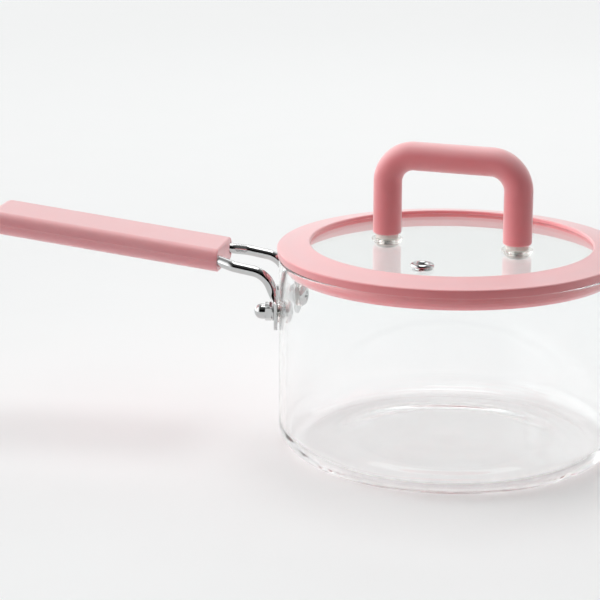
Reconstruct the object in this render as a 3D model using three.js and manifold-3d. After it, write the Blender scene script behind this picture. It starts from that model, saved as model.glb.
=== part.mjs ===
// Glass saucepan with a silicone-rimmed glass lid and a silicone-sleeved wire handle.
// Millimetres, Z up, origin on the pot's axis at its base, handle along -X, front side towards -Y.
import * as THREE from 'three';
import { mergeVertices } from 'three/addons/utils/BufferGeometryUtils.js';
import Module from 'manifold-3d';

const wasm = await Module();
wasm.setup();

// Pot: blown borosilicate cylinder with a rounded corner and a fire-polished rim
const POT_RADIUS = 80;
const POT_HEIGHT = 92.5;
const POT_WALL = 3;
const POT_BASE = 4;
const POT_CORNER = 12.5;
const POT_FLOOR_CROWN = 0.8;

// Handle wire: one bent loop whose two ends are pressed flat
const WIRE_RADIUS = 2.5;
const WIRE_BEND = 11;
const ARM_TILT = THREE.MathUtils.degToRad(10);
const JOG_RUN = 8;
const JOG_BEND = 10;
const TAB_THICKNESS = 1.8;
const TAB_WIDTH = 11;
const TAB_BELOW_BOLT = 9.2;
const TAB_ABOVE_BOLT = 4.7;
const TAB_TRANSITION = 2.4;

// Grip: moulded silicone bar pulled over the closed end of the wire loop
const GRIP_STANDOFF = 28;
const GRIP_ABOVE_BOLT = 21.9;
const GRIP_LENGTH = 113;
const GRIP_WIDTH = 33;
const GRIP_THICKNESS = 11;
const GRIP_EDGE = 4.6;
const GRIP_CORNER = 5;
const GRIP_TILT = THREE.MathUtils.degToRad(7);
const GRIP_END_WALL = 5;
const GRIP_WIRE_SPACING = 26;
const PARTING_RIDGE = 0.3;
const PARTING_WIDTH = 0.6;

// Handle bolts: one truss-head screw through the pot wall on each side of the handle
const BOLT_BELOW_RIM = 27.1;
const BOLT_SPREAD = THREE.MathUtils.degToRad(11.7);
const BOLT_RADIUS = 2.5;
const BOLT_HEAD_RADIUS = 5;
const BOLT_HEAD_HEIGHT = 2.2;
const BOLT_ENGAGEMENT = 4.6;
const GLASS_HOLE_CLEARANCE = 0.75;
const OUTER_GASKET = 0.6;
const INNER_GASKET = 1.2;
const GASKET_RADIUS = 5.5;
const WASHER_RADIUS = 4.5;
const WASHER_THICKNESS = 0.7;
const NUT_FLATS = 8;
const NUT_HEX_HEIGHT = 3.2;
const NUT_DOME_RADIUS = 3.6;
const NUT_HEIGHT = 8.2;
const NUT_CHAMFER = 0.4;

// Lid glass and the silicone rim that grips its edge
const LID_TURN = THREE.MathUtils.degToRad(-10);
const LID_GLASS_THICKNESS = 4;
const LID_GLASS_CHAMFER = 0.5;
const RIM_OVERHANG = 1;
const RIM_EDGE_WIDTH = 5.5;
const RIM_GLASS_OVERLAP = 10;
const RIM_UNDERCUT = 0.5;
const RIM_SIDE_HEIGHT = 3.9;
const RIM_LIP_HEIGHT = 1.9;
const RIM_ROUNDING = 0.9;
const RIM_FLOOR = 0.5;
const SKIRT_DEPTH = 6.2;
const SKIRT_THICKNESS = 5.2;
const SKIRT_CLEARANCE = 0.6;
const SKIRT_BEAD = 0.5;
const SKIRT_NECK = 1.6;
const SKIRT_LEAD_IN = 1.6;

// Steam vent: rolled steel eyelet through the lid glass
const VENT_OFFSET = 43.5;
const VENT_RADIUS = 5.4;
const VENT_BORE = 2.5;
const VENT_SHEET = 0.5;
const VENT_ROLL_HEIGHT = 1.5;
const VENT_FLANGE_RADIUS = 4.6;

// Lid handle: silicone-sleeved steel bow, held by two screws from below the glass
const LEG_SPACING = 63;
const BOW_RISE = 40.6;
const BOW_BEND = 13;
const SLEEVE_RADIUS = 6.7;
const SLEEVE_END_ROUNDING = 1.2;
const CORE_RADIUS = 4;
const COLLAR_RADIUS = 5.3;
const COLLAR_HEIGHT = 2;
const LEG_WASHER_RADIUS = 7.2;
const LEG_WASHER_THICKNESS = 0.9;
const LEG_GASKET_RADIUS = 6;
const LEG_GASKET_THICKNESS = 0.8;
const LEG_SCREW_RADIUS = 2.5;
const LEG_SCREW_HEAD_RADIUS = 5.2;
const LEG_SCREW_HEAD_HEIGHT = 2.1;
const LEG_SCREW_ENGAGEMENT = 9;

// Clearances shared by every fit
const SEAT_GAP = 0.05;
const SCREW_CLEARANCE = 0.25;
const WIRE_CLEARANCE = 0.15;
const TIP_CLEARANCE = 0.6;
const GROOVE_CLEARANCE = 0.1;
const OVERCUT = 1;

// Cross recess in every screw head
const RECESS_SPAN = 5.4;
const RECESS_WIDTH = 1.2;
const RECESS_DEPTH = 1.2;

// Facet counts
const LARGE_SIDES = 64;
const SMALL_SIDES = 18;
const WIRE_SIDES = 12;
const SLEEVE_SIDES = 18;
const BEND_STEP = THREE.MathUtils.degToRad(15);

// Positions that follow from the dimensions above
const potInner = POT_RADIUS - POT_WALL;
const boltHeight = POT_HEIGHT - BOLT_BELOW_RIM;
const gripMouth = POT_RADIUS + GRIP_STANDOFF;
const gripMouthHeight = boltHeight + GRIP_ABOVE_BOLT;
const jogStart = gripMouth - JOG_RUN;
const rimOuter = POT_RADIUS + RIM_OVERHANG;
const lidGlassRadius = rimOuter - RIM_EDGE_WIDTH;
const rimInner = lidGlassRadius - RIM_GLASS_OVERLAP;
const lidSeat = POT_HEIGHT + SEAT_GAP;
const lidGlassBottom = lidSeat + RIM_FLOOR + GROOVE_CLEARANCE;
const lidGlassTop = lidGlassBottom + LID_GLASS_THICKNESS;
const tabInnerFace = POT_RADIUS + OUTER_GASKET + SEAT_GAP;
const tabOuterFace = tabInnerFace + TAB_THICKNESS;
const washerFace = tabOuterFace + SEAT_GAP;
const nutFace = washerFace + WASHER_THICKNESS + SEAT_GAP;
const boltHeadFace = potInner - INNER_GASKET - SEAT_GAP;
const collarFace = lidGlassTop + SEAT_GAP + LEG_WASHER_THICKNESS + SEAT_GAP;
const bowFoot = collarFace + COLLAR_HEIGHT + SEAT_GAP;
const legGasketFace = lidGlassBottom - SEAT_GAP;
const legScrewFace = legGasketFace - LEG_GASKET_THICKNESS - SEAT_GAP;

const FINISHES = {
  potGlass: { color: 0xf4f6f6, roughness: 0.03, metalness: 0 },
  lidGlass: { color: 0xeef2f1, roughness: 0.04, metalness: 0 },
  silicone: { color: 0xe9a3a8, roughness: 0.62, metalness: 0 },
  clearSilicone: { color: 0xd9d6d2, roughness: 0.4, metalness: 0 },
  steel: { color: 0xc9cbcc, roughness: 0.16, metalness: 1 },
};

/** Turns any closed geometry into an indexed one that faces out and has no empty triangles. */
function closed(geometry) {
  const bare = new THREE.BufferGeometry();
  bare.setAttribute('position', geometry.getAttribute('position').clone());
  bare.setIndex(geometry.getIndex());
  const merged = mergeVertices(bare, 1e-4);
  const position = merged.getAttribute('position');
  const source = merged.getIndex().array;
  const corner = [new THREE.Vector3(), new THREE.Vector3(), new THREE.Vector3()];
  const kept = [];
  let volume = 0;
  for (let i = 0; i < source.length; i += 3) {
    const [a, b, c] = source.slice(i, i + 3);
    if (a === b || b === c || c === a) continue;
    kept.push(a, b, c);
    [a, b, c].forEach((vertex, k) => corner[k].fromBufferAttribute(position, vertex));
    volume += corner[0].dot(corner[1].cross(corner[2]));
  }
  if (volume < 0) kept.reverse();
  merged.setIndex(kept);
  return merged;
}

function toManifold(geometry) {
  const shape = closed(geometry);
  const vertProperties = Float32Array.from(shape.getAttribute('position').array);
  const triVerts = Uint32Array.from(shape.getIndex().array);
  return new wasm.Manifold(new wasm.Mesh({ numProp: 3, vertProperties, triVerts }));
}

function fromManifold(manifold) {
  const mesh = manifold.getMesh();
  const geometry = new THREE.BufferGeometry();
  geometry.setAttribute('position', new THREE.BufferAttribute(Float32Array.from(mesh.vertProperties), 3));
  geometry.setIndex(Array.from(mesh.triVerts));
  return geometry;
}

function cut(body, ...tools) {
  return fromManifold(tools.reduce((left, tool) => left.subtract(toManifold(tool)), toManifold(body)));
}

function join(...bodies) {
  return fromManifold(bodies.map(toManifold).reduce((left, right) => left.add(right)));
}

function common(body, tool) {
  return fromManifold(toManifold(body).intersect(toManifold(tool)));
}

/** Revolves a profile of [radius, height] points round Z. */
function revolve(profile, sides) {
  const points = profile.map(([radius, height]) => new THREE.Vector2(radius, height));
  return closed(new THREE.LatheGeometry(points, sides).rotateX(Math.PI / 2));
}

function cylinder(radius, low, high, sides = SMALL_SIDES) {
  return revolve([[0, low], [radius, low], [radius, high], [0, high]], sides);
}

function washer(outer, inner, low, high) {
  return revolve([[inner, low], [outer, low], [outer, high], [inner, high], [inner, low]], SMALL_SIDES);
}

/** Points of an arc in the profile plane, from one angle in degrees to another. */
function arc(centreX, centreY, radius, from, to, steps) {
  return Array.from({ length: steps + 1 }, (_, i) => {
    const angle = THREE.MathUtils.degToRad(from + ((to - from) * i) / steps);
    return [centreX + radius * Math.cos(angle), centreY + radius * Math.sin(angle)];
  });
}

/** Stations, each a point and a tangent, along a polyline whose inner corners are rounded. */
function roundedPath(points, radii) {
  const stations = [];
  const direction = (i) => points[i + 1].clone().sub(points[i]).normalize();
  stations.push({ point: points[0].clone(), tangent: direction(0) });
  for (let i = 1; i < points.length - 1; i += 1) {
    const before = direction(i - 1);
    const after = direction(i);
    const turn = before.angleTo(after);
    const sideways = after.clone().addScaledVector(before, -Math.cos(turn)).normalize();
    const start = points[i].clone().addScaledVector(before, -radii[i - 1] * Math.tan(turn / 2));
    const steps = Math.max(2, Math.ceil(turn / BEND_STEP));
    for (let k = 0; k <= steps; k += 1) {
      const angle = (turn * k) / steps;
      const point = start.clone().addScaledVector(before, radii[i - 1] * Math.sin(angle));
      point.addScaledVector(sideways, radii[i - 1] * (1 - Math.cos(angle)));
      const tangent = before.clone().multiplyScalar(Math.cos(angle));
      tangent.addScaledVector(sideways, Math.sin(angle));
      stations.push({ point, tangent });
    }
  }
  const last = points.length - 1;
  stations.push({ point: points[last].clone(), tangent: direction(last - 1) });
  return stations.filter((station, i) => i === 0 || station.point.distanceTo(stations[i - 1].point) > 1e-3);
}

/** One ring of a stadium section; equal half sizes make it a circle. */
function stadiumRing(centre, side, up, halfWidth, halfThickness, sides) {
  const straight = Math.max(halfWidth - halfThickness, 0);
  const end = Math.min(halfWidth, halfThickness);
  return Array.from({ length: sides }, (_, i) => {
    const angle = ((i + 0.5) * 2 * Math.PI) / sides;
    const across = Math.sign(Math.cos(angle)) * straight + end * Math.cos(angle);
    return centre.clone().addScaledVector(side, across).addScaledVector(up, end * Math.sin(angle));
  });
}

/** Skins a row of rings into one closed body with flat ends. */
function loft(rings) {
  const sides = rings[0].length;
  const position = rings.flat().flatMap((point) => point.toArray());
  const index = [];
  for (let row = 0; row + 1 < rings.length; row += 1) {
    for (let k = 0; k < sides; k += 1) {
      const a = row * sides + k;
      const b = row * sides + ((k + 1) % sides);
      index.push(a, b, a + sides, b, b + sides, a + sides);
    }
  }
  const top = (rings.length - 1) * sides;
  for (let k = 1; k + 1 < sides; k += 1) {
    index.push(0, k + 1, k, top, top + k, top + k + 1);
  }
  const geometry = new THREE.BufferGeometry();
  geometry.setAttribute('position', new THREE.Float32BufferAttribute(position, 3));
  geometry.setIndex(index);
  return closed(geometry);
}

/** Round bar along stations; the radius may differ at each one. */
function bar(stations, radiusAt, sides) {
  const across = new THREE.Vector3(0, 1, 0);
  const rings = stations.map((station, i) => {
    const up = new THREE.Vector3().crossVectors(station.tangent, across).normalize();
    const radius = radiusAt(i);
    return stadiumRing(station.point, across, up, radius, radius, sides);
  });
  return loft(rings);
}

function mesh(name, geometry, finish) {
  const flat = geometry.toNonIndexed();
  flat.computeVertexNormals();
  const part = new THREE.Mesh(flat, new THREE.MeshStandardMaterial(FINISHES[finish]));
  part.name = name;
  return part;
}

/** Group whose local Z runs outwards along one bolt: front side -1, rear side +1. */
function boltStation(side) {
  const station = new THREE.Group();
  station.rotation.set(0, Math.PI / 2, Math.PI - side * BOLT_SPREAD, 'ZYX');
  station.position.z = boltHeight;
  station.updateMatrix();
  return station;
}

const stations = { front: boltStation(-1), rear: boltStation(1) };

function drillsThroughStations(radius) {
  return Object.values(stations).map((station) => {
    const reach = POT_WALL + WIRE_RADIUS + TAB_THICKNESS;
    return cylinder(radius, potInner - reach, POT_RADIUS + reach).applyMatrix4(station.matrix);
  });
}

function potBody() {
  const innerCorner = POT_CORNER - POT_WALL;
  const rim = POT_WALL / 2;
  const profile = [
    [0, 0],
    ...arc(POT_RADIUS - POT_CORNER, POT_CORNER, POT_CORNER, -90, 0, 7),
    ...arc(POT_RADIUS - rim, POT_HEIGHT - rim, rim, 0, 180, 6),
    ...arc(potInner - innerCorner, POT_BASE + innerCorner, innerCorner, 0, -90, 6),
    [(potInner - innerCorner) / 2, POT_BASE + POT_FLOOR_CROWN / 2],
    [0, POT_BASE + POT_FLOOR_CROWN],
  ];
  return cut(revolve(profile, LARGE_SIDES), ...drillsThroughStations(BOLT_RADIUS + GLASS_HOLE_CLEARANCE));
}

/** Centre line of half the wire loop, from the middle of its closed end to the front tab's tip. */
function wireHalfPath() {
  const gripHeight = (reach) => gripMouthHeight + (reach - gripMouth) * Math.tan(GRIP_TILT);
  const closedEnd = gripMouth + GRIP_LENGTH - GRIP_END_WALL - WIRE_RADIUS;
  const half = GRIP_WIRE_SPACING / 2;
  const fall = (reach) => gripMouthHeight - (gripMouth - reach) * Math.tan(ARM_TILT);
  const roundAxis = tabInnerFace + WIRE_RADIUS;
  const armReach = roundAxis * Math.cos(BOLT_SPREAD);
  const armSide = roundAxis * Math.sin(BOLT_SPREAD);
  const points = [
    new THREE.Vector3(-closedEnd, 0, gripHeight(closedEnd)),
    new THREE.Vector3(-closedEnd, -half, gripHeight(closedEnd)),
    new THREE.Vector3(-gripMouth, -half, gripMouthHeight),
    new THREE.Vector3(-jogStart, -armSide, fall(jogStart)),
    new THREE.Vector3(-armReach, -armSide, fall(armReach)),
    new THREE.Vector3(-armReach, -armSide, boltHeight + TAB_ABOVE_BOLT + TAB_TRANSITION),
  ];
  const bend = Math.min(WIRE_BEND, (points[4].z - points[5].z) / Math.tan((Math.PI / 2 - ARM_TILT) / 2));
  return roundedPath(points, [half, JOG_BEND, JOG_BEND, bend]);
}

/** Rings of the pressed tab: the round wire turns flat against the pot and ends in a half circle. */
function tabRings(side, outward) {
  const rings = [];
  const place = (drop, flatness, halfWidth) => {
    const halfThickness = THREE.MathUtils.lerp(WIRE_RADIUS, TAB_THICKNESS / 2, flatness);
    const height = boltHeight + TAB_ABOVE_BOLT + TAB_TRANSITION - drop;
    const centre = outward.clone().multiplyScalar(tabInnerFace + halfThickness).setZ(height);
    const turned = new THREE.Vector3(0, -1, 0).lerp(side, flatness).normalize();
    const up = new THREE.Vector3(0, 0, -1).cross(turned).normalize();
    const wide = Math.max(halfWidth, halfThickness);
    rings.push(stadiumRing(centre, turned, up, wide, halfThickness, WIRE_SIDES));
  };
  const steps = 5;
  for (let i = 1; i <= steps; i += 1) {
    const share = THREE.MathUtils.smoothstep(i / steps, 0, 1);
    place((TAB_TRANSITION * i) / steps, share, THREE.MathUtils.lerp(WIRE_RADIUS, TAB_WIDTH / 2, share));
  }
  const roundStart = TAB_TRANSITION + TAB_ABOVE_BOLT + TAB_BELOW_BOLT - TAB_WIDTH / 2;
  for (let angle = 0; angle <= 80; angle += 20) {
    const radians = THREE.MathUtils.degToRad(angle);
    place(roundStart + (TAB_WIDTH / 2) * Math.sin(radians), 1, (TAB_WIDTH / 2) * Math.cos(radians));
  }
  place(roundStart + TAB_WIDTH / 2, 1, 0);
  return rings;
}

/** Rings of the half loop's round part, for the wire itself or for the channel that it fills. */
function armRings(path, radius) {
  const plane = new THREE.Vector3(Math.sin(GRIP_TILT), 0, Math.cos(GRIP_TILT));
  let up = plane;
  return path.map((station) => {
    up = up.clone().addScaledVector(station.tangent, -up.dot(station.tangent)).normalize();
    const side = new THREE.Vector3().crossVectors(station.tangent, up);
    return stadiumRing(station.point, side, up, radius, radius, WIRE_SIDES);
  });
}

function mirrored(rings) {
  return rings.map((ring) => ring.map((point) => new THREE.Vector3(point.x, -point.y, point.z)));
}

function wholeLoop(half) {
  return loft([...mirrored(half).reverse(), ...half.slice(1)]);
}

function handleWire() {
  const outward = new THREE.Vector3(-Math.cos(BOLT_SPREAD), -Math.sin(BOLT_SPREAD), 0);
  const side = new THREE.Vector3(Math.sin(BOLT_SPREAD), -Math.cos(BOLT_SPREAD), 0);
  const half = [...armRings(wireHalfPath(), WIRE_RADIUS), ...tabRings(side, outward)];
  return cut(wholeLoop(half), ...drillsThroughStations(BOLT_RADIUS + SCREW_CLEARANCE));
}

/** Channel inside the grip: the wire's path with its clearance, run out past the mouth. */
function gripChannel() {
  const runOut = -gripMouth + WIRE_RADIUS;
  const path = wireHalfPath().filter((station) => station.point.x <= runOut);
  return wholeLoop(armRings(path, WIRE_RADIUS + WIRE_CLEARANCE));
}

function roundedRectangle(left, right, halfWidth, radius) {
  const shape = new THREE.Shape();
  shape.moveTo(left + radius, -halfWidth);
  shape.lineTo(right, -halfWidth);
  shape.lineTo(right, halfWidth);
  shape.lineTo(left + radius, halfWidth);
  shape.absarc(left + radius, halfWidth - radius, radius, Math.PI / 2, Math.PI, false);
  shape.absarc(left + radius, radius - halfWidth, radius, Math.PI, Math.PI * 1.5, false);
  return shape;
}

function handleGrip() {
  const left = -gripMouth - GRIP_LENGTH;
  // The rounded edge stays inside the end's corners and leaves the parting ridge its width
  const edge = Math.min(GRIP_EDGE, GRIP_CORNER - PARTING_RIDGE, (GRIP_THICKNESS - PARTING_WIDTH) / 2);
  const spare = edge * 2;
  const outline = roundedRectangle(left, spare - gripMouth, GRIP_WIDTH / 2, GRIP_CORNER);
  const body = new THREE.ExtrudeGeometry(outline, {
    depth: GRIP_THICKNESS - 2 * edge,
    bevelThickness: edge,
    bevelSize: edge,
    bevelOffset: -edge,
    bevelSegments: 4,
    curveSegments: 5,
  }).translate(0, 0, edge - GRIP_THICKNESS / 2);
  const ridgeOutline = roundedRectangle(
    left - PARTING_RIDGE, spare - gripMouth, GRIP_WIDTH / 2 + PARTING_RIDGE, GRIP_CORNER + PARTING_RIDGE);
  const ridge = new THREE.ExtrudeGeometry(ridgeOutline, {
    depth: PARTING_WIDTH,
    bevelEnabled: false,
    curveSegments: 5,
  }).translate(0, 0, -PARTING_WIDTH / 2);
  const mouthCut = new THREE.BoxGeometry(spare * 4, GRIP_WIDTH * 2, GRIP_THICKNESS * 2)
    .translate(spare * 2 - gripMouth, 0, 0);
  const tilt = new THREE.Matrix4().set(
    1, 0, 0, 0,
    0, 1, 0, 0,
    -Math.tan(GRIP_TILT), 0, 1, gripMouthHeight - gripMouth * Math.tan(GRIP_TILT),
    0, 0, 0, 1);
  return cut(cut(join(body, ridge), mouthCut).applyMatrix4(tilt), gripChannel());
}

/** Truss-head screw: the head's flat face lies at face, the shank runs towards +Z. */
function trussScrew(shankRadius, headRadius, headHeight, face, end) {
  const profile = [
    ...arc(0, 0, 1, -90, 0, 4).map(([x, y]) => [headRadius * x, face + headHeight * y]),
    [shankRadius, face],
    [shankRadius, end],
    [0, end],
  ];
  const recess = [[RECESS_SPAN, RECESS_WIDTH], [RECESS_WIDTH, RECESS_SPAN]].map(([wide, deep]) =>
    new THREE.BoxGeometry(wide, deep, 2 * RECESS_DEPTH).translate(0, 0, face - headHeight));
  return cut(revolve(profile, SMALL_SIDES), ...recess);
}

/** Cap nut with a blind bore: the hexagon's bearing face lies at face, the dome towards +Z. */
function capNut(face) {
  const corner = NUT_FLATS / Math.sqrt(3);
  const hexagon = revolve([[0, 0], [corner, 0], [corner, NUT_HEX_HEIGHT], [0, NUT_HEX_HEIGHT]], 6);
  const bevel = revolve([
    [0, 0],
    [corner - NUT_CHAMFER, 0],
    [corner, NUT_CHAMFER],
    [corner, NUT_HEX_HEIGHT - NUT_CHAMFER],
    [corner - NUT_CHAMFER, NUT_HEX_HEIGHT],
    [0, NUT_HEX_HEIGHT],
  ], SMALL_SIDES);
  const dome = revolve([
    [0, NUT_HEX_HEIGHT / 2],
    [NUT_DOME_RADIUS, NUT_HEX_HEIGHT / 2],
    ...arc(0, NUT_HEIGHT - NUT_DOME_RADIUS, NUT_DOME_RADIUS, 0, 90, 5),
  ], SMALL_SIDES);
  const bore = cylinder(BOLT_RADIUS + SCREW_CLEARANCE, -OVERCUT, BOLT_ENGAGEMENT + TIP_CLEARANCE);
  return cut(join(common(hexagon, bevel), dome), bore).translate(0, 0, face);
}

/** Clear gasket outside the wall: flat towards the tab, saddle-shaped against the glass. */
function outerGasket(station) {
  const disc = washer(GASKET_RADIUS, BOLT_RADIUS + SCREW_CLEARANCE, potInner, POT_RADIUS + OUTER_GASKET);
  return cut(disc, wallCylinder(POT_RADIUS + SEAT_GAP, station));
}

/** Clear gasket inside the wall: flat towards the screw head, crowned against the glass. */
function innerGasket(station) {
  const disc = washer(GASKET_RADIUS, BOLT_RADIUS + SCREW_CLEARANCE, potInner - INNER_GASKET, POT_RADIUS);
  return common(disc, wallCylinder(potInner - SEAT_GAP, station));
}

/** Plain cylinder with the pot's facets, seen from inside a bolt station. */
function wallCylinder(radius, station) {
  const toStation = station.matrix.clone().invert();
  return cylinder(radius, 0, POT_HEIGHT, LARGE_SIDES).applyMatrix4(toStation);
}

function addBolt(side, station) {
  const screwEnd = nutFace + BOLT_ENGAGEMENT;
  const screw = trussScrew(BOLT_RADIUS, BOLT_HEAD_RADIUS, BOLT_HEAD_HEIGHT, boltHeadFace, screwEnd);
  const plate = washer(
    WASHER_RADIUS, BOLT_RADIUS + SCREW_CLEARANCE, washerFace, washerFace + WASHER_THICKNESS);
  station.add(mesh(`${side}_handle_screw`, screw, 'steel'));
  station.add(mesh(`${side}_inner_gasket`, innerGasket(station), 'clearSilicone'));
  station.add(mesh(`${side}_outer_gasket`, outerGasket(station), 'clearSilicone'));
  station.add(mesh(`${side}_steel_washer`, plate, 'steel'));
  station.add(mesh(`${side}_cap_nut`, capNut(nutFace), 'steel'));
}

/** Silicone rim: sloped top flange, glass groove, flat seat on the pot and a beaded skirt inside it. */
function lidRim() {
  const edgeTop = lidSeat + RIM_SIDE_HEIGHT;
  const lipTop = lidGlassTop + RIM_LIP_HEIGHT;
  const grooveRadius = lidGlassRadius + GROOVE_CLEARANCE;
  const grooveTop = lidGlassTop + GROOVE_CLEARANCE;
  const grooveFloor = lidGlassBottom - GROOVE_CLEARANCE;
  const skirtOuter = potInner - SKIRT_CLEARANCE;
  const skirtInner = skirtOuter - SKIRT_THICKNESS;
  const skirtFoot = lidSeat - SKIRT_DEPTH;
  const slope = THREE.MathUtils.radToDeg(
    Math.atan2(lipTop - edgeTop, rimOuter - rimInner));
  const profile = [
    [rimInner, grooveTop],
    ...arc(rimInner + RIM_ROUNDING, lipTop - RIM_ROUNDING, RIM_ROUNDING, 180, 90 - slope, 3),
    ...arc(rimOuter - RIM_ROUNDING, edgeTop - RIM_ROUNDING, RIM_ROUNDING, 90 - slope, 0, 3),
    [rimOuter - RIM_UNDERCUT, lidSeat],
    [skirtOuter - SKIRT_BEAD, lidSeat],
    [skirtOuter - SKIRT_BEAD, lidSeat - SKIRT_NECK],
    [skirtOuter, lidSeat - 2 * SKIRT_NECK],
    [skirtOuter, skirtFoot + SKIRT_LEAD_IN],
    [skirtOuter - 2 * SKIRT_BEAD, skirtFoot],
    [skirtInner + SKIRT_BEAD, skirtFoot],
    [skirtInner, skirtFoot + SKIRT_BEAD],
    [skirtInner, grooveFloor],
    [grooveRadius, grooveFloor],
    [grooveRadius, grooveTop],
    [rimInner, grooveTop],
  ];
  return revolve(profile, LARGE_SIDES);
}

function lidGlass() {
  const profile = [
    [0, lidGlassBottom],
    [lidGlassRadius - LID_GLASS_CHAMFER, lidGlassBottom],
    [lidGlassRadius, lidGlassBottom + LID_GLASS_CHAMFER],
    [lidGlassRadius, lidGlassTop - LID_GLASS_CHAMFER],
    [lidGlassRadius - LID_GLASS_CHAMFER, lidGlassTop],
    [0, lidGlassTop],
  ];
  const through = (radius, x, y) =>
    cylinder(radius, lidGlassBottom - OVERCUT, lidGlassTop + OVERCUT).translate(x, y, 0);
  const screwHole = LEG_SCREW_RADIUS + GLASS_HOLE_CLEARANCE;
  const ventHole = VENT_BORE + VENT_SHEET + SCREW_CLEARANCE;
  return cut(
    revolve(profile, LARGE_SIDES),
    through(screwHole, -LEG_SPACING / 2, 0),
    through(screwHole, LEG_SPACING / 2, 0),
    through(ventHole, 0, -VENT_OFFSET));
}

/** Eyelet: a rolled bead on the glass, a barrel through it and a flange turned out below. */
function steamVent() {
  const barrel = VENT_BORE + VENT_SHEET;
  const top = lidGlassTop + SEAT_GAP;
  const under = lidGlassBottom - SEAT_GAP;
  const beadMiddle = (VENT_RADIUS + VENT_BORE) / 2;
  const beadHalf = (VENT_RADIUS - VENT_BORE) / 2;
  const crown = arc(0, 0, 1, 0, 180, 8).map(([x, y]) => [
    beadMiddle + beadHalf * x,
    top + VENT_SHEET / 2 + (VENT_ROLL_HEIGHT - VENT_SHEET / 2) * y,
  ]);
  const profile = [
    [barrel, top],
    [VENT_RADIUS, top],
    ...crown,
    [VENT_BORE, under - VENT_SHEET],
    [VENT_FLANGE_RADIUS, under - VENT_SHEET],
    [VENT_FLANGE_RADIUS, under],
    [barrel, under],
    [barrel, top],
  ];
  return revolve(profile, SMALL_SIDES).translate(0, -VENT_OFFSET, 0);
}

function bowPath(foot) {
  const half = LEG_SPACING / 2;
  const crown = lidGlassTop + BOW_RISE;
  const points = [[-half, foot], [-half, crown], [half, crown], [half, foot]];
  return roundedPath(points.map(([x, z]) => new THREE.Vector3(x, 0, z)), [BOW_BEND, BOW_BEND]);
}

function handleCore() {
  const rod = bar(bowPath(bowFoot), () => CORE_RADIUS, WIRE_SIDES);
  const tapEnd = bowFoot + LEG_SCREW_ENGAGEMENT + TIP_CLEARANCE;
  const tapped = [-1, 1].map((side) =>
    cylinder(LEG_SCREW_RADIUS + SCREW_CLEARANCE, bowFoot - OVERCUT, tapEnd)
      .translate((side * LEG_SPACING) / 2, 0, 0));
  return cut(rod, ...tapped);
}

/** Soft sleeve over the bow, with rounded ends just above the collars. */
function handleSleeve() {
  const path = bowPath(bowFoot);
  const rounding = arc(SLEEVE_RADIUS - SLEEVE_END_ROUNDING, 0, SLEEVE_END_ROUNDING, -90, 0, 3);
  const leftEnd = rounding.map(([, rise]) => ({
    point: new THREE.Vector3(-LEG_SPACING / 2, 0, bowFoot + SLEEVE_END_ROUNDING + rise),
    tangent: new THREE.Vector3(0, 0, 1),
  }));
  const rightEnd = leftEnd.map(({ point }) => ({
    point: new THREE.Vector3(-point.x, 0, point.z),
    tangent: new THREE.Vector3(0, 0, -1),
  }));
  const stationsAlong = [...leftEnd, ...path.slice(1, -1), ...rightEnd.reverse()];
  const fromEnd = (i) => Math.min(i, stationsAlong.length - 1 - i, rounding.length - 1);
  const radii = stationsAlong.map((_, i) => rounding[fromEnd(i)][0]);
  const outside = bar(stationsAlong, (i) => radii[i], SLEEVE_SIDES);
  const bore = bar(bowPath(bowFoot - OVERCUT), () => CORE_RADIUS + WIRE_CLEARANCE, WIRE_SIDES);
  return cut(outside, bore);
}

function addLeg(lid, side, x) {
  const bore = LEG_SCREW_RADIUS + SCREW_CLEARANCE;
  const upper = washer(LEG_WASHER_RADIUS, bore, lidGlassTop + SEAT_GAP, collarFace - SEAT_GAP);
  const collar = washer(COLLAR_RADIUS, bore, collarFace, collarFace + COLLAR_HEIGHT);
  const lower = washer(LEG_GASKET_RADIUS, bore, legGasketFace - LEG_GASKET_THICKNESS, legGasketFace);
  const screw = trussScrew(LEG_SCREW_RADIUS, LEG_SCREW_HEAD_RADIUS, LEG_SCREW_HEAD_HEIGHT,
    legScrewFace, bowFoot + LEG_SCREW_ENGAGEMENT);
  const leg = new THREE.Group();
  leg.position.x = x;
  leg.add(mesh(`${side}_leg_collar`, collar, 'clearSilicone'));
  leg.add(mesh(`${side}_leg_washer`, upper, 'clearSilicone'));
  leg.add(mesh(`${side}_leg_gasket`, lower, 'clearSilicone'));
  leg.add(mesh(`${side}_leg_screw`, screw, 'steel'));
  lid.add(leg);
}

function lidGroup() {
  const lid = new THREE.Group();
  lid.rotation.z = LID_TURN;
  lid.add(mesh('lid_glass', lidGlass(), 'lidGlass'));
  lid.add(mesh('lid_rim', lidRim(), 'silicone'));
  lid.add(mesh('steam_vent', steamVent(), 'steel'));
  lid.add(mesh('lid_handle_core', handleCore(), 'steel'));
  lid.add(mesh('lid_handle_sleeve', handleSleeve(), 'silicone'));
  addLeg(lid, 'left', -LEG_SPACING / 2);
  addLeg(lid, 'right', LEG_SPACING / 2);
  return lid;
}

function saucepan() {
  const pan = new THREE.Group();
  pan.add(mesh('glass_pot', potBody(), 'potGlass'));
  pan.add(mesh('handle_wire', handleWire(), 'steel'));
  pan.add(mesh('handle_grip', handleGrip(), 'silicone'));
  for (const [side, station] of Object.entries(stations)) {
    addBolt(side, station);
    pan.add(station);
  }
  pan.add(lidGroup());
  return pan;
}

export default saucepan();
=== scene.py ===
"""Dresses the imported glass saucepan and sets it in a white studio.

Sizes of the pan are millimetres in the frame of the part: origin on the pot's axis at its base,
Z up, side handle along -X. They become metres where a mesh is made. The studio is in metres.
"""

import logging
import math
from dataclasses import dataclass
from enum import Enum
from typing import NamedTuple, Sequence

import bmesh
import bpy
from mathutils import Matrix, Vector


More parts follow.
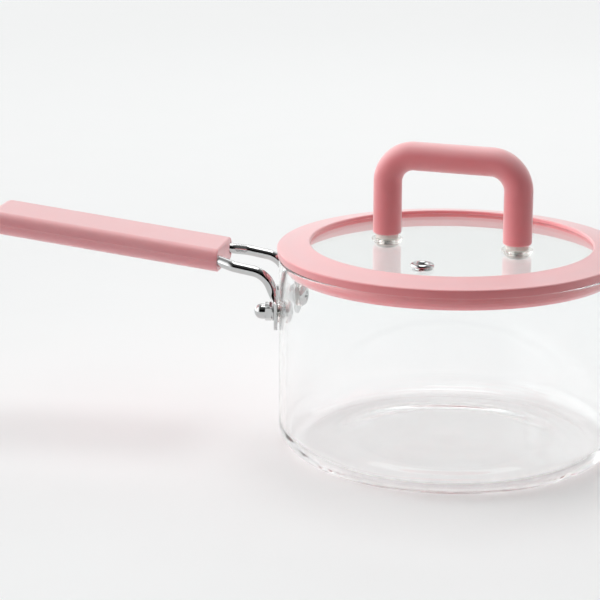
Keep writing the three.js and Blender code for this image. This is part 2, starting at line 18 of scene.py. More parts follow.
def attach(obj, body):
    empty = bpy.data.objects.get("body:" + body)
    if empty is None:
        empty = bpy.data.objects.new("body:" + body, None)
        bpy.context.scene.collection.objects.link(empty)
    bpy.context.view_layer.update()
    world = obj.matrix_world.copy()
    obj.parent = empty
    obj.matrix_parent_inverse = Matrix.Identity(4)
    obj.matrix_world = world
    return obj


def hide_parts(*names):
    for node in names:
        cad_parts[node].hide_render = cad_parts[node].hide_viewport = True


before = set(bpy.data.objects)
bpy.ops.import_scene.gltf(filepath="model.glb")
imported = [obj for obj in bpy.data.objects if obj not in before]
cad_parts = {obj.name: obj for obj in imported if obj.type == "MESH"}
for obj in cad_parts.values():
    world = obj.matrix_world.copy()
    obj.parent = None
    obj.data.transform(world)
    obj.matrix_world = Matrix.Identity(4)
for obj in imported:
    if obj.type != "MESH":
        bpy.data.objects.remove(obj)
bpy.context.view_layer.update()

log = logging.getLogger("saucepan")

MM = 0.001
# Sides of turned pieces, large and small, and of bent tubes
ROUND_SIDES = 256
SMALL_SIDES = 64
TUBE_SIDES = 40
# Turn from ring to ring in a bend, fewest such turns, and the turn from which an edge stays crisp
BEND_STEP = math.radians(4)
BEND_LEAST = 3
SHARP_EDGE = math.radians(32)
# Room between pieces that touch, and how far a cutter goes past what it cuts
SEAT_GAP = 0.05
OVERCUT = 1.0
# Radius that counts as none, distance that counts as none, and the most of an edge that one
# rounded corner may take
ON_AXIS = 1e-6
SAME_SPOT = 1e-3
EDGE_SHARE = 0.49

# Sockets of a colour mix node: its share, its two colours and its result
MIX_SHARE, MIX_FIRST, MIX_SECOND, MIX_RESULT = 0, 6, 7, 2

Pair = tuple[float, float]
Triple = tuple[float, float, float]
Ring = list[Vector]
Shape = bmesh.types.BMesh
Piece = bpy.types.Object
Tree = bpy.types.NodeTree
Socket = bpy.types.NodeSocket


class Body(Enum):
    """Rigid bodies that pieces ride on."""

    POT = "pot"
    LID = "lid"


class Slot(Enum):
    """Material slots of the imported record."""

    POT_GLASS = "pot_glass"
    LID_GLASS = "lid_glass"
    SILICONE = "pink_silicone"
    CLEAR_SILICONE = "clear_silicone"
    STEEL = "polished_steel"


class Cut(Enum):
    """Ways in which one solid works on another."""

    TAKE_AWAY = "DIFFERENCE"
    KEEP_COMMON = "INTERSECT"
    ADD = "UNION"


class Side(Enum):
    """The two bolts of the side handle, as the sign of their Y."""

    FRONT = -1
    REAR = 1


class Leg(Enum):
    """The two legs of the lid's bow, as the sign of their place along it."""

    LEFT = -1
    RIGHT = 1


class Station(NamedTuple):
    """A point of a bent path and the direction in which the path goes on."""

    point: Vector
    tangent: Vector


def linear(hex_colour: str) -> tuple[float, float, float, float]:
    """Turns an sRGB hex colour into linear values.

    Args:
        hex_colour: Six hex digits after a hash sign.

    Returns:
        Red, green, blue and an alpha of 1.
    """
    shares = [int(hex_colour[i:i + 2], 16) / 255 for i in (1, 3, 5)]
    red, green, blue = (s / 12.92 if s <= 0.04045 else ((s + 0.055) / 1.055) ** 2.4 for s in shares)
    return red, green, blue, 1.0


def per_metre(size_mm: float) -> float:
    """Texture scale of a pattern whose features measure size_mm."""
    return 1 / (size_mm * MM)


def add_node(
    tree: Tree,
    kind: str,
    feeds: dict[str | int, object] | None = None,
    settings: dict[str, object] | None = None,
) -> bpy.types.Node:
    """Adds one node with its settings and links.

    Args:
        tree: Node tree that takes the node.
        kind: Blender's name of the node type.
        feeds: Values, or output sockets to link, by input name or place.
        settings: Properties of the node itself.

    Returns:
        The new node.
    """
    node = tree.nodes.new(kind)
    for name, value in (settings or {}).items():
        setattr(node, name, value)
    for name, value in (feeds or {}).items():
        if isinstance(value, Socket):
            tree.links.new(value, node.inputs[name])
        else:
            node.inputs[name].default_value = value
    return node


@dataclass(frozen=True)
class Finish:
    """A material, told by what it is made of and how its surface was made."""

    name: str

    def surface(self, tree: Tree, place: Socket) -> Socket:
        """Adds the nodes of the surface, which each kind of finish has its own way of.

        Args:
            tree: Node tree that takes the nodes.
            place: Coordinates on the piece, in metres.

        Returns:
            The shader.
        """
        raise NotImplementedError

    def material(self) -> bpy.types.Material:
        """Builds the node material.

        Returns:
            The material, ready for a piece.
        """
        material = bpy.data.materials.new(self.name)
        material.use_nodes = True
        tree = material.node_tree
        tree.nodes.clear()
        place = add_node(tree, "ShaderNodeTexCoord").outputs["Object"]
        add_node(tree, "ShaderNodeOutputMaterial", {"Surface": self.surface(tree, place)})
        return material


@dataclass(frozen=True)
class Glass(Finish):
    """Clear glass whose surface waves slightly from its making and carries faint wipe marks."""

    tint: str
    ior: float
    wave_mm: float
    wave_depth_mm: float
    smear_mm: float = 9.0
    smear_roughness: float = 0.018

    def surface(self, tree: Tree, place: Socket) -> Socket:
        """Adds the nodes of waved glass with uneven gloss.

        Args:
            tree: Node tree that takes the nodes.
            place: Coordinates on the piece, in metres.

        Returns:
            The shader.
        """
        wave = add_node(tree, "ShaderNodeTexNoise", {
            "Vector": place, "Scale": per_metre(self.wave_mm), "Detail": 1.0})
        bump = add_node(tree, "ShaderNodeBump", {
            "Height": wave.outputs["Fac"], "Distance": self.wave_depth_mm * MM, "Strength": 1.0})
        smear = add_node(tree, "ShaderNodeTexNoise", {
            "Vector": place, "Scale": per_metre(self.smear_mm), "Detail": 3.0})
        gloss = add_node(tree, "ShaderNodeMapRange", {
            "Value": smear.outputs["Fac"], "From Min": 0.45, "From Max": 0.8,
            "To Min": 0.0, "To Max": self.smear_roughness})
        return add_node(tree, "ShaderNodeBsdfPrincipled", {
            "Base Color": linear(self.tint), "IOR": self.ior, "Transmission Weight": 1.0,
            "Roughness": gloss.outputs["Result"], "Normal": bump.outputs["Normal"]}).outputs["BSDF"]


@dataclass(frozen=True)
class Silicone(Finish):
    """Compression-moulded silicone rubber with the fine grit of a blasted mould."""

    colour: str
    faded: str
    # Pale pink painted onto upward faces as painted light
    lit_top: str
    mottle_mm: float = 14.0
    roughness: Pair = (0.36, 0.46)
    ior: float = 1.43
    glow_mm: float = 1.5
    grit_mm: float = 0.35
    grit_depth_mm: float = 0.012
    powder: float = 0.7
    film: float = 0.5

    def surface(self, tree: Tree, place: Socket) -> Socket:
        """Adds the nodes of matt silicone with mottled colour, painted light on upward faces, uneven gloss
        and grit.

        Args:
            tree: Node tree that takes the nodes.
            place: Coordinates on the piece, in metres.

        Returns:
            The shader.
        """
        mottle = add_node(tree, "ShaderNodeTexNoise", {
            "Vector": place, "Scale": per_metre(self.mottle_mm), "Detail": 4.0}).outputs["Fac"]
        patches = add_node(tree, "ShaderNodeMapRange", {
            "Value": mottle, "From Min": 0.3, "From Max": 0.75})
        clean = add_node(tree, "ShaderNodeMix", {
            MIX_SHARE: patches.outputs["Result"], MIX_FIRST: linear(self.colour),
            MIX_SECOND: linear(self.faded)}, {"data_type": "RGBA"})
        gloss = add_node(tree, "ShaderNodeMapRange", {
            "Value": mottle, "From Min": 0.3, "From Max": 0.7,
            "To Min": self.roughness[0], "To Max": self.roughness[1]})
        # Painted light: faces are painted a paler pink the more they face upwards, as if lit from above
        normal = add_node(tree, "ShaderNodeNewGeometry").outputs["Normal"]
        upward = add_node(tree, "ShaderNodeMapRange", {
            "Value": add_node(tree, "ShaderNodeSeparateXYZ", {"Vector": normal}).outputs["Z"],
            "From Min": 0.1, "From Max": 0.85}, {"interpolation_type": "SMOOTHSTEP"})
        painted_top_light = add_node(tree, "ShaderNodeMix", {
            MIX_SHARE: upward.outputs["Result"], MIX_FIRST: clean.outputs[MIX_RESULT],
            MIX_SECOND: linear(self.lit_top)}, {"data_type": "RGBA"})
        # Real grit is about 0.05 mm; it is drawn coarser so that it shows
        grit = add_node(tree, "ShaderNodeTexNoise", {
            "Vector": place, "Scale": per_metre(self.grit_mm), "Detail": 2.0})
        bump = add_node(tree, "ShaderNodeBump", {
            "Height": grit.outputs["Fac"], "Distance": self.grit_depth_mm * MM, "Strength": 1.0})
        # Light glows a little way in, below a thin waxy film with a powdery sheen
        return add_node(tree, "ShaderNodeBsdfPrincipled", {
            "Base Color": painted_top_light.outputs[MIX_RESULT], "Roughness": gloss.outputs["Result"],
            "IOR": self.ior, "Normal": bump.outputs["Normal"],
            "Subsurface Weight": 0.3, "Subsurface Radius": (1.0, 0.45, 0.4),
            "Subsurface Scale": self.glow_mm * MM,
            "Sheen Weight": self.powder, "Sheen Roughness": 0.6,
            "Coat Weight": self.film, "Coat Roughness": 0.45, "Coat IOR": 1.4}).outputs["BSDF"]


@dataclass(frozen=True)
class ClearSilicone(Finish):
    """Uncoloured moulded silicone, from see-through to milky."""

    colour: str
    cloud: str
    transmission: float
    roughness: Pair
    cloud_mm: float = 2.5
    skin_depth_mm: float = 0.01
    ior: float = 1.41

    def surface(self, tree: Tree, place: Socket) -> Socket:
        """Adds the nodes of clouded silicone with a moulded skin.

        Args:
            tree: Node tree that takes the nodes.
            place: Coordinates on the piece, in metres.

        Returns:
            The shader.
        """
        cloud = add_node(tree, "ShaderNodeTexNoise", {
            "Vector": place, "Scale": per_metre(self.cloud_mm), "Detail": 3.0}).outputs["Fac"]
        colour = add_node(tree, "ShaderNodeMix", {
            MIX_SHARE: cloud, MIX_FIRST: linear(self.colour), MIX_SECOND: linear(self.cloud)},
            {"data_type": "RGBA"})
        gloss = add_node(tree, "ShaderNodeMapRange", {
            "Value": cloud, "To Min": self.roughness[0], "To Max": self.roughness[1]})
        bump = add_node(tree, "ShaderNodeBump", {
            "Height": cloud, "Distance": self.skin_depth_mm * MM, "Strength": 1.0})
        return add_node(tree, "ShaderNodeBsdfPrincipled", {
            "Base Color": colour.outputs[MIX_RESULT], "Roughness": gloss.outputs["Result"],
            "IOR": self.ior, "Transmission Weight": self.transmission,
            "Normal": bump.outputs["Normal"]}).outputs["BSDF"]


@dataclass(frozen=True)
class PolishedSteel(Finish):
    """Stainless steel, drawn or stamped and then barrel-polished."""

    colour: str = "#D2D3D3"
    worn: str = "#BDBEBE"
    haze_mm: float = 3.0
    roughness: Pair = (0.05, 0.14)
    hairline_mm: float = 0.25
    hairline_depth_mm: float = 0.0005
    hairline_stretch: Triple = (0.08, 1.0, 1.0)

    def surface(self, tree: Tree, place: Socket) -> Socket:
        """Adds the nodes of metal with hazed gloss and shallow polishing lines.

        Args:
            tree: Node tree that takes the nodes.
            place: Coordinates on the piece, in metres.

        Returns:
            The shader.
        """
        haze = add_node(tree, "ShaderNodeTexNoise", {
            "Vector": place, "Scale": per_metre(self.haze_mm), "Detail": 5.0}).outputs["Fac"]
        colour = add_node(tree, "ShaderNodeMix", {
            MIX_SHARE: haze, MIX_FIRST: linear(self.colour), MIX_SECOND: linear(self.worn)},
            {"data_type": "RGBA"})
        gloss = add_node(tree, "ShaderNodeMapRange", {
            "Value": haze, "From Min": 0.3, "From Max": 0.75,
            "To Min": self.roughness[0], "To Max": self.roughness[1]})
        # Polishing lines are a few microns wide; they are drawn as coarse as they need to show
        along = add_node(tree, "ShaderNodeMapping", {"Vector": place, "Scale": self.hairline_stretch})
        hairline = add_node(tree, "ShaderNodeTexNoise", {
            "Vector": along.outputs["Vector"], "Scale": per_metre(self.hairline_mm), "Detail": 2.0})
        bump = add_node(tree, "ShaderNodeBump", {
            "Height": hairline.outputs["Fac"], "Distance": self.hairline_depth_mm * MM, "Strength": 1.0})
        return add_node(tree, "ShaderNodeBsdfPrincipled", {
            "Base Color": colour.outputs[MIX_RESULT], "Metallic": 1.0,
            "Roughness": gloss.outputs["Result"], "Normal": bump.outputs["Normal"]}).outputs["BSDF"]


@dataclass(frozen=True)
class StudioPaper(Finish):
    """Matt white background paper, faintly uneven.

    In front of the pan its colour is painted darker for light that bounces off it, as painted shade; the
    camera, mirrors and glass still see it white. Far from the pan it is lifted towards white, but only
    where the camera, a mirror or glass looks at it.
    """

    name: str = "white_studio_paper"
    colour: str = "#F6F7F7"
    shade: str = "#F4F5F5"
    cloud_mm: float = 60.0
    # Span along Y over which painted shade darkens the paper's front, and its darkest level
    front: Pair = (-0.4, -0.12)
    front_level: float = 0.08
    far: Pair = (0.45, 3.0)
    far_lift: float = 0.62

    def surface(self, tree: Tree, place: Socket) -> Socket:
        """Adds the nodes of clouded paper with its painted shade in front and lifted far parts.

        Args:
            tree: Node tree that takes the nodes.
            place: Coordinates on the paper, in metres.

        Returns:
            The shader.
        """
        cloud = add_node(tree, "ShaderNodeTexNoise", {
            "Vector": place, "Scale": per_metre(self.cloud_mm), "Detail": 3.0})
        colour = add_node(tree, "ShaderNodeMix", {
            MIX_SHARE: cloud.outputs["Fac"], MIX_FIRST: linear(self.colour),
            MIX_SECOND: linear(self.shade)}, {"data_type": "RGBA"}).outputs[MIX_RESULT]
        rays = add_node(tree, "ShaderNodeLightPath")
        seen = rays.outputs["Is Camera Ray"]
        for kind in ("Is Glossy Ray", "Is Transmission Ray"):
            seen = add_node(tree, "ShaderNodeMath", {
                0: seen, 1: rays.outputs[kind]}, {"operation": "MAXIMUM"}).outputs["Value"]
        # Painted shade: the front of the paper is darker for bounced light, but white to camera, mirror and
        # glass rays
        fade = add_node(tree, "ShaderNodeMapRange", {
            "Value": add_node(tree, "ShaderNodeSeparateXYZ", {"Vector": place}).outputs["Y"],
            "From Min": self.front[0], "From Max": self.front[1],
            "To Min": self.front_level, "To Max": 1.0}, {"interpolation_type": "SMOOTHSTEP"})
        level = add_node(tree, "ShaderNodeMath", {
            0: fade.outputs["Result"], 1: seen}, {"operation": "MAXIMUM"})
        shown = add_node(tree, "ShaderNodeVectorMath", {
            "Vector": colour, "Scale": level.outputs["Value"]}, {"operation": "SCALE"})
        paper = add_node(tree, "ShaderNodeBsdfDiffuse", {"Color": shown.outputs["Vector"]})
        away = add_node(tree, "ShaderNodeVectorMath", {"Vector": place}, {"operation": "LENGTH"})
        far = add_node(tree, "ShaderNodeMapRange", {
            "Value": away.outputs["Value"], "From Min": self.far[0], "From Max": self.far[1],
            "To Max": self.far_lift})
        lift = add_node(tree, "ShaderNodeMath", {
            0: far.outputs["Result"], 1: seen}, {"operation": "MULTIPLY"})
        white = add_node(tree, "ShaderNodeEmission", {
            "Color": colour, "Strength": lift.outputs["Value"]})
        return add_node(tree, "ShaderNodeAddShader", {
            0: paper.outputs["BSDF"], 1: white.outputs["Emission"]}).outputs["Shader"]


@dataclass(frozen=True)
class Finishes:
    """One material of each finish on the pan."""

    # Blown borosilicate is nearly colourless, and its slow waves bend what lies behind it a little
    pot_glass: Glass = Glass("blown_borosilicate_glass", "#FEFFFF", 1.47, 26.0, 0.05)
    # Tempered float glass is flat, mirrors cleanly and has a trace of green
    lid_glass: Glass = Glass("tempered_float_glass", "#FCFEFD", 1.52, 40.0, 0.006)
    # Moulded silicone looks matt and soft, deep pink on its sides and painted paler on top as painted light
    silicone: Silicone = Silicone("moulded_pink_silicone", "#EC7E84", "#EE858B", "#F4A9AC")
    # The grip has a paler copy of the pink silicone, painted light that makes its sides look almost as pale
    # as its top
    grip: Silicone = Silicone("moulded_pale_pink_silicone", "#F6A2A8", "#F6A6AB", "#F4A9AC")
    # Clear silicone pads look like wet glass with soft edges
    clear: ClearSilicone = ClearSilicone(
        "moulded_clear_silicone", "#F6F5F2", "#EEECE8", 1.0, (0.02, 0.06))
    # Cloudy silicone looks like milk glass, with a warm tone
    cloudy: ClearSilicone = ClearSilicone(
        "moulded_cloudy_silicone", "#FBF6F0", "#F4ECE6", 0.1, (0.25, 0.4))
    # Barrel-polished steel mirrors the studio, softened by haze and hairlines
    steel: PolishedSteel = PolishedSteel("polished_stainless_steel")


class Wardrobe:
    """Builds each finish once and hands out its material."""

    def __init__(self, finishes: Finishes) -> None:
        """Keeps the finishes and an empty store of materials."""
        self.finishes = finishes
        self.made: dict[str, bpy.types.Material] = {}

    def __getitem__(self, name: str) -> bpy.types.Material:
        """Looks up one finish, and makes its material when it is first asked for.

        Args:
            name: Field name of the finish.

        Returns:
            Its material.
        """
        if name not in self.made:
            self.made[name] = getattr(self.finishes, name).material()
        return self.made[name]


def arc(centre: Pair, radius: float, start: float, end: float, steps: int) -> list[Pair]:
    """Points on an arc in a profile plane.

    Args:
        centre: Middle of the arc.
        radius: Its radius.
        start: First angle in degrees.
        end: Last angle in degrees.
        steps: Number of chords.

    Returns:
        steps + 1 points.
    """
    angles = (math.radians(start + (end - start) * i / steps) for i in range(steps + 1))
    return [(centre[0] + radius * math.cos(a), centre[1] + radius * math.sin(a)) for a in angles]


def rounded_profile(corners: Sequence[Triple], steps: int = 5) -> list[Pair]:
    """Rounds the corners of a closed profile.

    Args:
        corners: Radius, height and rounding of each corner, in order.
        steps: Chords in each rounded corner.

    Returns:
        Points of the closed profile, without repeating the first.
    """
    points: list[Pair] = []
    count = len(corners)
    for i, (x, y, rounding) in enumerate(corners):
        if rounding <= 0:
            points.append((x, y))
            continue
        here = Vector((x, y))
        before = Vector(corners[i - 1][:2]) - here
        after = Vector(corners[(i + 1) % count][:2]) - here
        half = before.angle(after) / 2
        reach = min(rounding / math.tan(half), EDGE_SHARE * before.length, EDGE_SHARE * after.length)
        radius = reach * math.tan(half)
        middle = here + (before.normalized() + after.normalized()).normalized() * (radius / math.sin(half))
        first = here + before.normalized() * reach - middle
        last = here + after.normalized() * reach - middle
        turn = first.angle_signed(last)
        for k in range(steps + 1):
            spoke = Matrix.Rotation(-turn * k / steps, 2) @ first
            points.append((middle.x + spoke.x, middle.y + spoke.y))
    return points


def skin(rings: Sequence[Ring], closed: bool = False) -> Shape:
    """Skins a row of rings.

    Args:
        rings: Rings of equally many points, or of one point for a pole.
        closed: Joins the last ring to the first instead of capping both ends.

    Returns:
        A closed shape.
    """
    shape = bmesh.new()
    rows = [[shape.verts.new(point) for point in ring] for ring in rings]
    count = max(len(row) for row in rows)
    pairs = list(zip(rows, rows[1:]))
    if closed:
        pairs.append((rows[-1], rows[0]))
    for low, high in pairs:
        for i in range(count):
            k = (i + 1) % count
            corners = [low[i % len(low)], low[k % len(low)], high[k % len(high)], high[i % len(high)]]
            shape.faces.new(list(dict.fromkeys(corners)))
    ends = () if closed else (rows[0][::-1], rows[-1])
    for end in ends:
        if len(end) > 1:
            shape.faces.new(end)
    return shape


def lathe(profile: Sequence[Pair], sides: int, closed: bool = False) -> Shape:
    """Revolves a profile round Z.

    Args:
        profile: Radius and height of each point; a radius of 0 makes a pole.
        sides: Number of sides.
        closed: Joins the last point to the first.

    Returns:
        A closed shape.
    """
    turns = [2 * math.pi * i / sides for i in range(sides)]
    rings = []
    for radius, height in profile:
        if radius < ON_AXIS:
            rings.append([Vector((0, 0, height))])
        else:
            rings.append([Vector((radius * math.cos(t), radius * math.sin(t), height)) for t in turns])
    return skin(rings, closed)


def rounded_path(points: Sequence[Vector], radii: Sequence[float]) -> list[Station]:
    """Walks along a polyline whose inner corners are rounded.

    Args:
        points: Corners of the path.
        radii: Bend radius at each inner corner.

    Returns:
        Stations from the first point to the last.
    """
    stations = [Station(points[0].copy(), (points[1] - points[0]).normalized())]
    for i, radius in enumerate(radii, start=1):
        before = (points[i] - points[i - 1]).normalized()
        after = (points[i + 1] - points[i]).normalized()
        turn = before.angle(after)
        sideways = (after - before * math.cos(turn)).normalized()
        start = points[i] - before * radius * math.tan(turn / 2)
        steps = max(BEND_LEAST, math.ceil(turn / BEND_STEP))
        for k in range(steps + 1):
            angle = turn * k / steps
            point = start + before * radius * math.sin(angle) + sideways * radius * (1 - math.cos(angle))
            stations.append(Station(point, before * math.cos(angle) + sideways * math.sin(angle)))
    stations.append(Station(points[-1].copy(), (points[-1] - points[-2]).normalized()))
    kept = [stations[0]]
    kept += [s for last, s in zip(stations, stations[1:]) if (s.point - last.point).length > SAME_SPOT]
    return kept


def stadium(centre: Vector, wide: Vector, thick: Vector, half: Pair) -> Ring:
    """A ring of stadium section; equal halves make it round.

    Args:
        centre: Middle of the section.
        wide: Unit vector along its width.
        thick: Unit vector along its thickness.
        half: Half width and half thickness.

    Returns:
        The ring's points.
    """
    end = min(half)
    straight = half[0] - end
    ring = []
    for i in range(TUBE_SIDES):
        angle = (i + 0.5) * 2 * math.pi / TUBE_SIDES
        across = math.copysign(straight, math.cos(angle)) + end * math.cos(angle)
        ring.append(centre + wide * across + thick * (end * math.sin(angle)))
    return ring


def tube_rings(stations: Sequence[Station], radii: Sequence[float], up: Vector) -> list[Ring]:
    """Round rings along a path, without twist.

    Args:
        stations: The path.
        radii: Radius at each station.
        up: Direction that starts the rings, not along the path.

    Returns:
        One ring for each station.
    """
    rings = []
    for station, radius in zip(stations, radii):
        up = (up - station.tangent * up.dot(station.tangent)).normalized()
        across = station.tangent.cross(up)
        rings.append(stadium(station.point, across, up, (radius, radius)))
    return rings


def solid(name: str, shape: Shape, place: Matrix | None = None) -> Piece:
    """Turns a shape in millimetres into an object in metres.

    Args:
        name: Name of the object.
        shape: The shape, which is used up.
        place: Turn and shift of the shape, in millimetres.

    Returns:
        The object, with its faces pointing out.
    """
    if place is not None:
        shape.transform(place)
    bmesh.ops.recalc_face_normals(shape, faces=shape.faces)
    shape.transform(Matrix.Scale(MM, 4))
    mesh = bpy.data.meshes.new(name)
    shape.to_mesh(mesh)
    shape.free()
    made = bpy.data.objects.new(name, mesh)
    bpy.context.scene.collection.objects.link(made)
    return made


def rod(radius: float, span: Pair, place: Matrix | None = None, sides: int = SMALL_SIDES) -> Piece:
    """A plain round rod along Z that drills or trims a piece.

    Args:
        radius: Its radius.
        span: Its low and high end.
        place: Where it stands.
        sides: Number of sides.

    Returns:
        The rod, for carve.
    """
    low, high = span
    return solid("rod", lathe([(0.0, low), (radius, low), (radius, high), (0.0, high)], sides), place)


def settle(work: Piece) -> None:
    """Turns an object's modifiers into plain mesh.

    Args:
        work: Object that is changed.
    """
    graph = bpy.context.evaluated_depsgraph_get()
    result = bpy.data.meshes.new_from_object(work.evaluated_get(graph))
    before = work.data
    name = before.name
    work.modifiers.clear()
    work.data = result
    bpy.data.meshes.remove(before)
    result.name = name


def carve(work: Piece, tools: Sequence[Piece], cut: Cut = Cut.TAKE_AWAY) -> None:
    """Cuts or joins an object with tools, which are used up.

    Args:
        work: Object that is changed.
        tools: Objects that work on it.
        cut: What the tools do.
    """
    for tool in tools:
        step = work.modifiers.new("cut", "BOOLEAN")
        step.object = tool
        step.operation = cut.value
        step.solver = "EXACT"
    settle(work)
    for tool in tools:
        bpy.data.objects.remove(tool, do_unlink=True)


def dress(
    piece: Piece, material: bpy.types.Material, body: Body, sharp: float = SHARP_EDGE
) -> None:
    """Smooths a piece, gives it its finish and puts it on its body in place of its CAD node.

    Args:
        piece: The piece, named for its node with the word dressed added.
        material: Its finish.
        body: The body that it rides on.
        sharp: Edges that turn by more than this stay crisp.
    """
    node = piece.name.removesuffix("_dressed")
    piece.data.shade_smooth()
    piece.data.set_sharp_from_angle(angle=sharp)
    # Large faces lead the shading, so that straight glass walls bend no light
    lead = piece.modifiers.new("shading", "WEIGHTED_NORMAL")
    lead.keep_sharp = True
    settle(piece)
    mesh = piece.data
    mesh.materials.clear()
    mesh.materials.append(material)
    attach(piece, body.value)
    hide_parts(node)
    log.info("%s: %d faces on %s", piece.name, len(mesh.polygons), body.value)


def flat_washer(
    name: str, place: Matrix, outer: float, inner: float, span: Pair, edge: float
) -> Piece:
    """A washer with rounded outer edges.

    Args:
        name: Name of the object.
        place: Where it lies.
        outer: Outer radius.
        inner: Bore radius.
        span: Its low and high face.
        edge: Rounding of its outer edges.

    Returns:
        The washer.
    """
    low, high = span
    corners = [(inner, low, 0.0), (outer, low, edge), (outer, high, edge), (inner, high, 0.0)]
    return solid(name, lathe(rounded_profile(corners), SMALL_SIDES, closed=True), place)


@dataclass(frozen=True)
class TrussScrew:
    """Screw with a wide domed head and a cross recess that narrows as it goes in."""

    shank: float
    head: float
    head_height: float
    brim: float = 0.35
    tip: float = 0.5
    recess_mouth: Pair = (5.6, 1.3)
    recess_floor: Pair = (2.6, 0.9)
    recess_depth: float = 1.3
    recess_overcut: float = 0.2

    def build(self, name: str, place: Matrix, face: float, end: float) -> Piece:
        """Makes the screw, its shank along +Z.

        Args:
            name: Name of the object.
            place: Where it stands.
            face: Height of the head's flat underside.
            end: Height of the shank's tip.

        Returns:
            The screw.
        """
        crown = face - self.head_height
        dome = [(self.head * x, face - self.brim - (self.head_height - self.brim) * y)
                for x, y in arc((0.0, 0.0), 1.0, 90, 0, steps=12)]
        stem = [(self.shank, face), (self.shank, end - self.tip), (self.shank - self.tip, end), (0.0, end)]
        screw = solid(name, lathe([*dome, (self.head, face), *stem], SMALL_SIDES), place)
        levels = (
            (crown - self.recess_overcut, self.recess_mouth),
            (crown + self.recess_depth, self.recess_floor),
        )
        recess = []
        for height, (span, width) in levels:
            arm, half = span / 2, width / 2
            quarter = [Vector((x, y, height)) for x, y in ((arm, half), (half, half), (half, arm))]
            turns = (Matrix.Rotation(math.radians(90 * k), 4, "Z") for k in range(4))
            recess.append([turn @ corner for turn in turns for corner in quarter])
        carve(screw, [solid("recess", skin(recess), place)])
        return screw


@dataclass
class GlassPot:
    """Blown pot: straight wall, round heel, pushed-up underside and a floor with the mould's ripples."""

    radius: float = 80.0
    height: float = 92.5
    wall: float = 3.0
    base: float = 4.0
    corner: float = 12.5
    crown: float = 0.8
    ripple: float = 0.006
    ripple_pitch: float = 15.0
    floor_steps: int = 90
    push_up: float = 0.8
    push_up_reach: Pair = (42.0, 60.0)
    push_up_steps: int = 30
    bolt_hole: float = 3.25

    @property
    def inner(self) -> float:
        """Radius of the inside."""
        return self.radius - self.wall

    def profile(self) -> list[Pair]:
        """Profile from the middle of the underside round the rim to the middle of the floor.

        Returns:
            Radius and height of its points.
        """
        rim = self.wall / 2
        inner_corner = self.corner - self.wall
        flat = self.inner - inner_corner
        near, far = self.push_up_reach
        underside = [(0.0, self.push_up)]
        for i in range(self.push_up_steps + 1):
            share = i / self.push_up_steps
            rise = self.push_up * (1 - share * share * (3 - 2 * share))
            underside.append((near + (far - near) * share, rise))
        floor = []
        for i in range(1, self.floor_steps + 1):
            reach = flat * (1 - i / self.floor_steps)
            fade = min(1.0, (flat - reach) / self.ripple_pitch)
            wave = self.ripple * fade * math.sin(2 * math.pi * reach / self.ripple_pitch)
            floor.append((reach, self.base + self.crown * (1 - reach / flat) + wave))
        return [
            *underside,
            *arc((self.radius - self.corner, self.corner), self.corner, -90, 0, steps=24),
            *arc((self.radius - rim, self.height - rim), rim, 0, 180, steps=16),
            *arc((flat, self.base + inner_corner), inner_corner, 0, -90, steps=24),
            *floor,
        ]

    def build(self, bolts: "HandleBolts", wardrobe: Wardrobe) -> None:
        """Makes the pot and drills it for the bolts.

        Args:
            bolts: The bolts whose holes it takes.
            wardrobe: Finishes.
        """
        pot = solid("glass_pot_dressed", lathe(self.profile(), ROUND_SIDES))
        reach = (self.inner - self.wall, self.radius + self.wall)
        carve(pot, [rod(self.bolt_hole, reach, bolts.place(side)) for side in Side])
        dress(pot, wardrobe["pot_glass"], Body.POT)


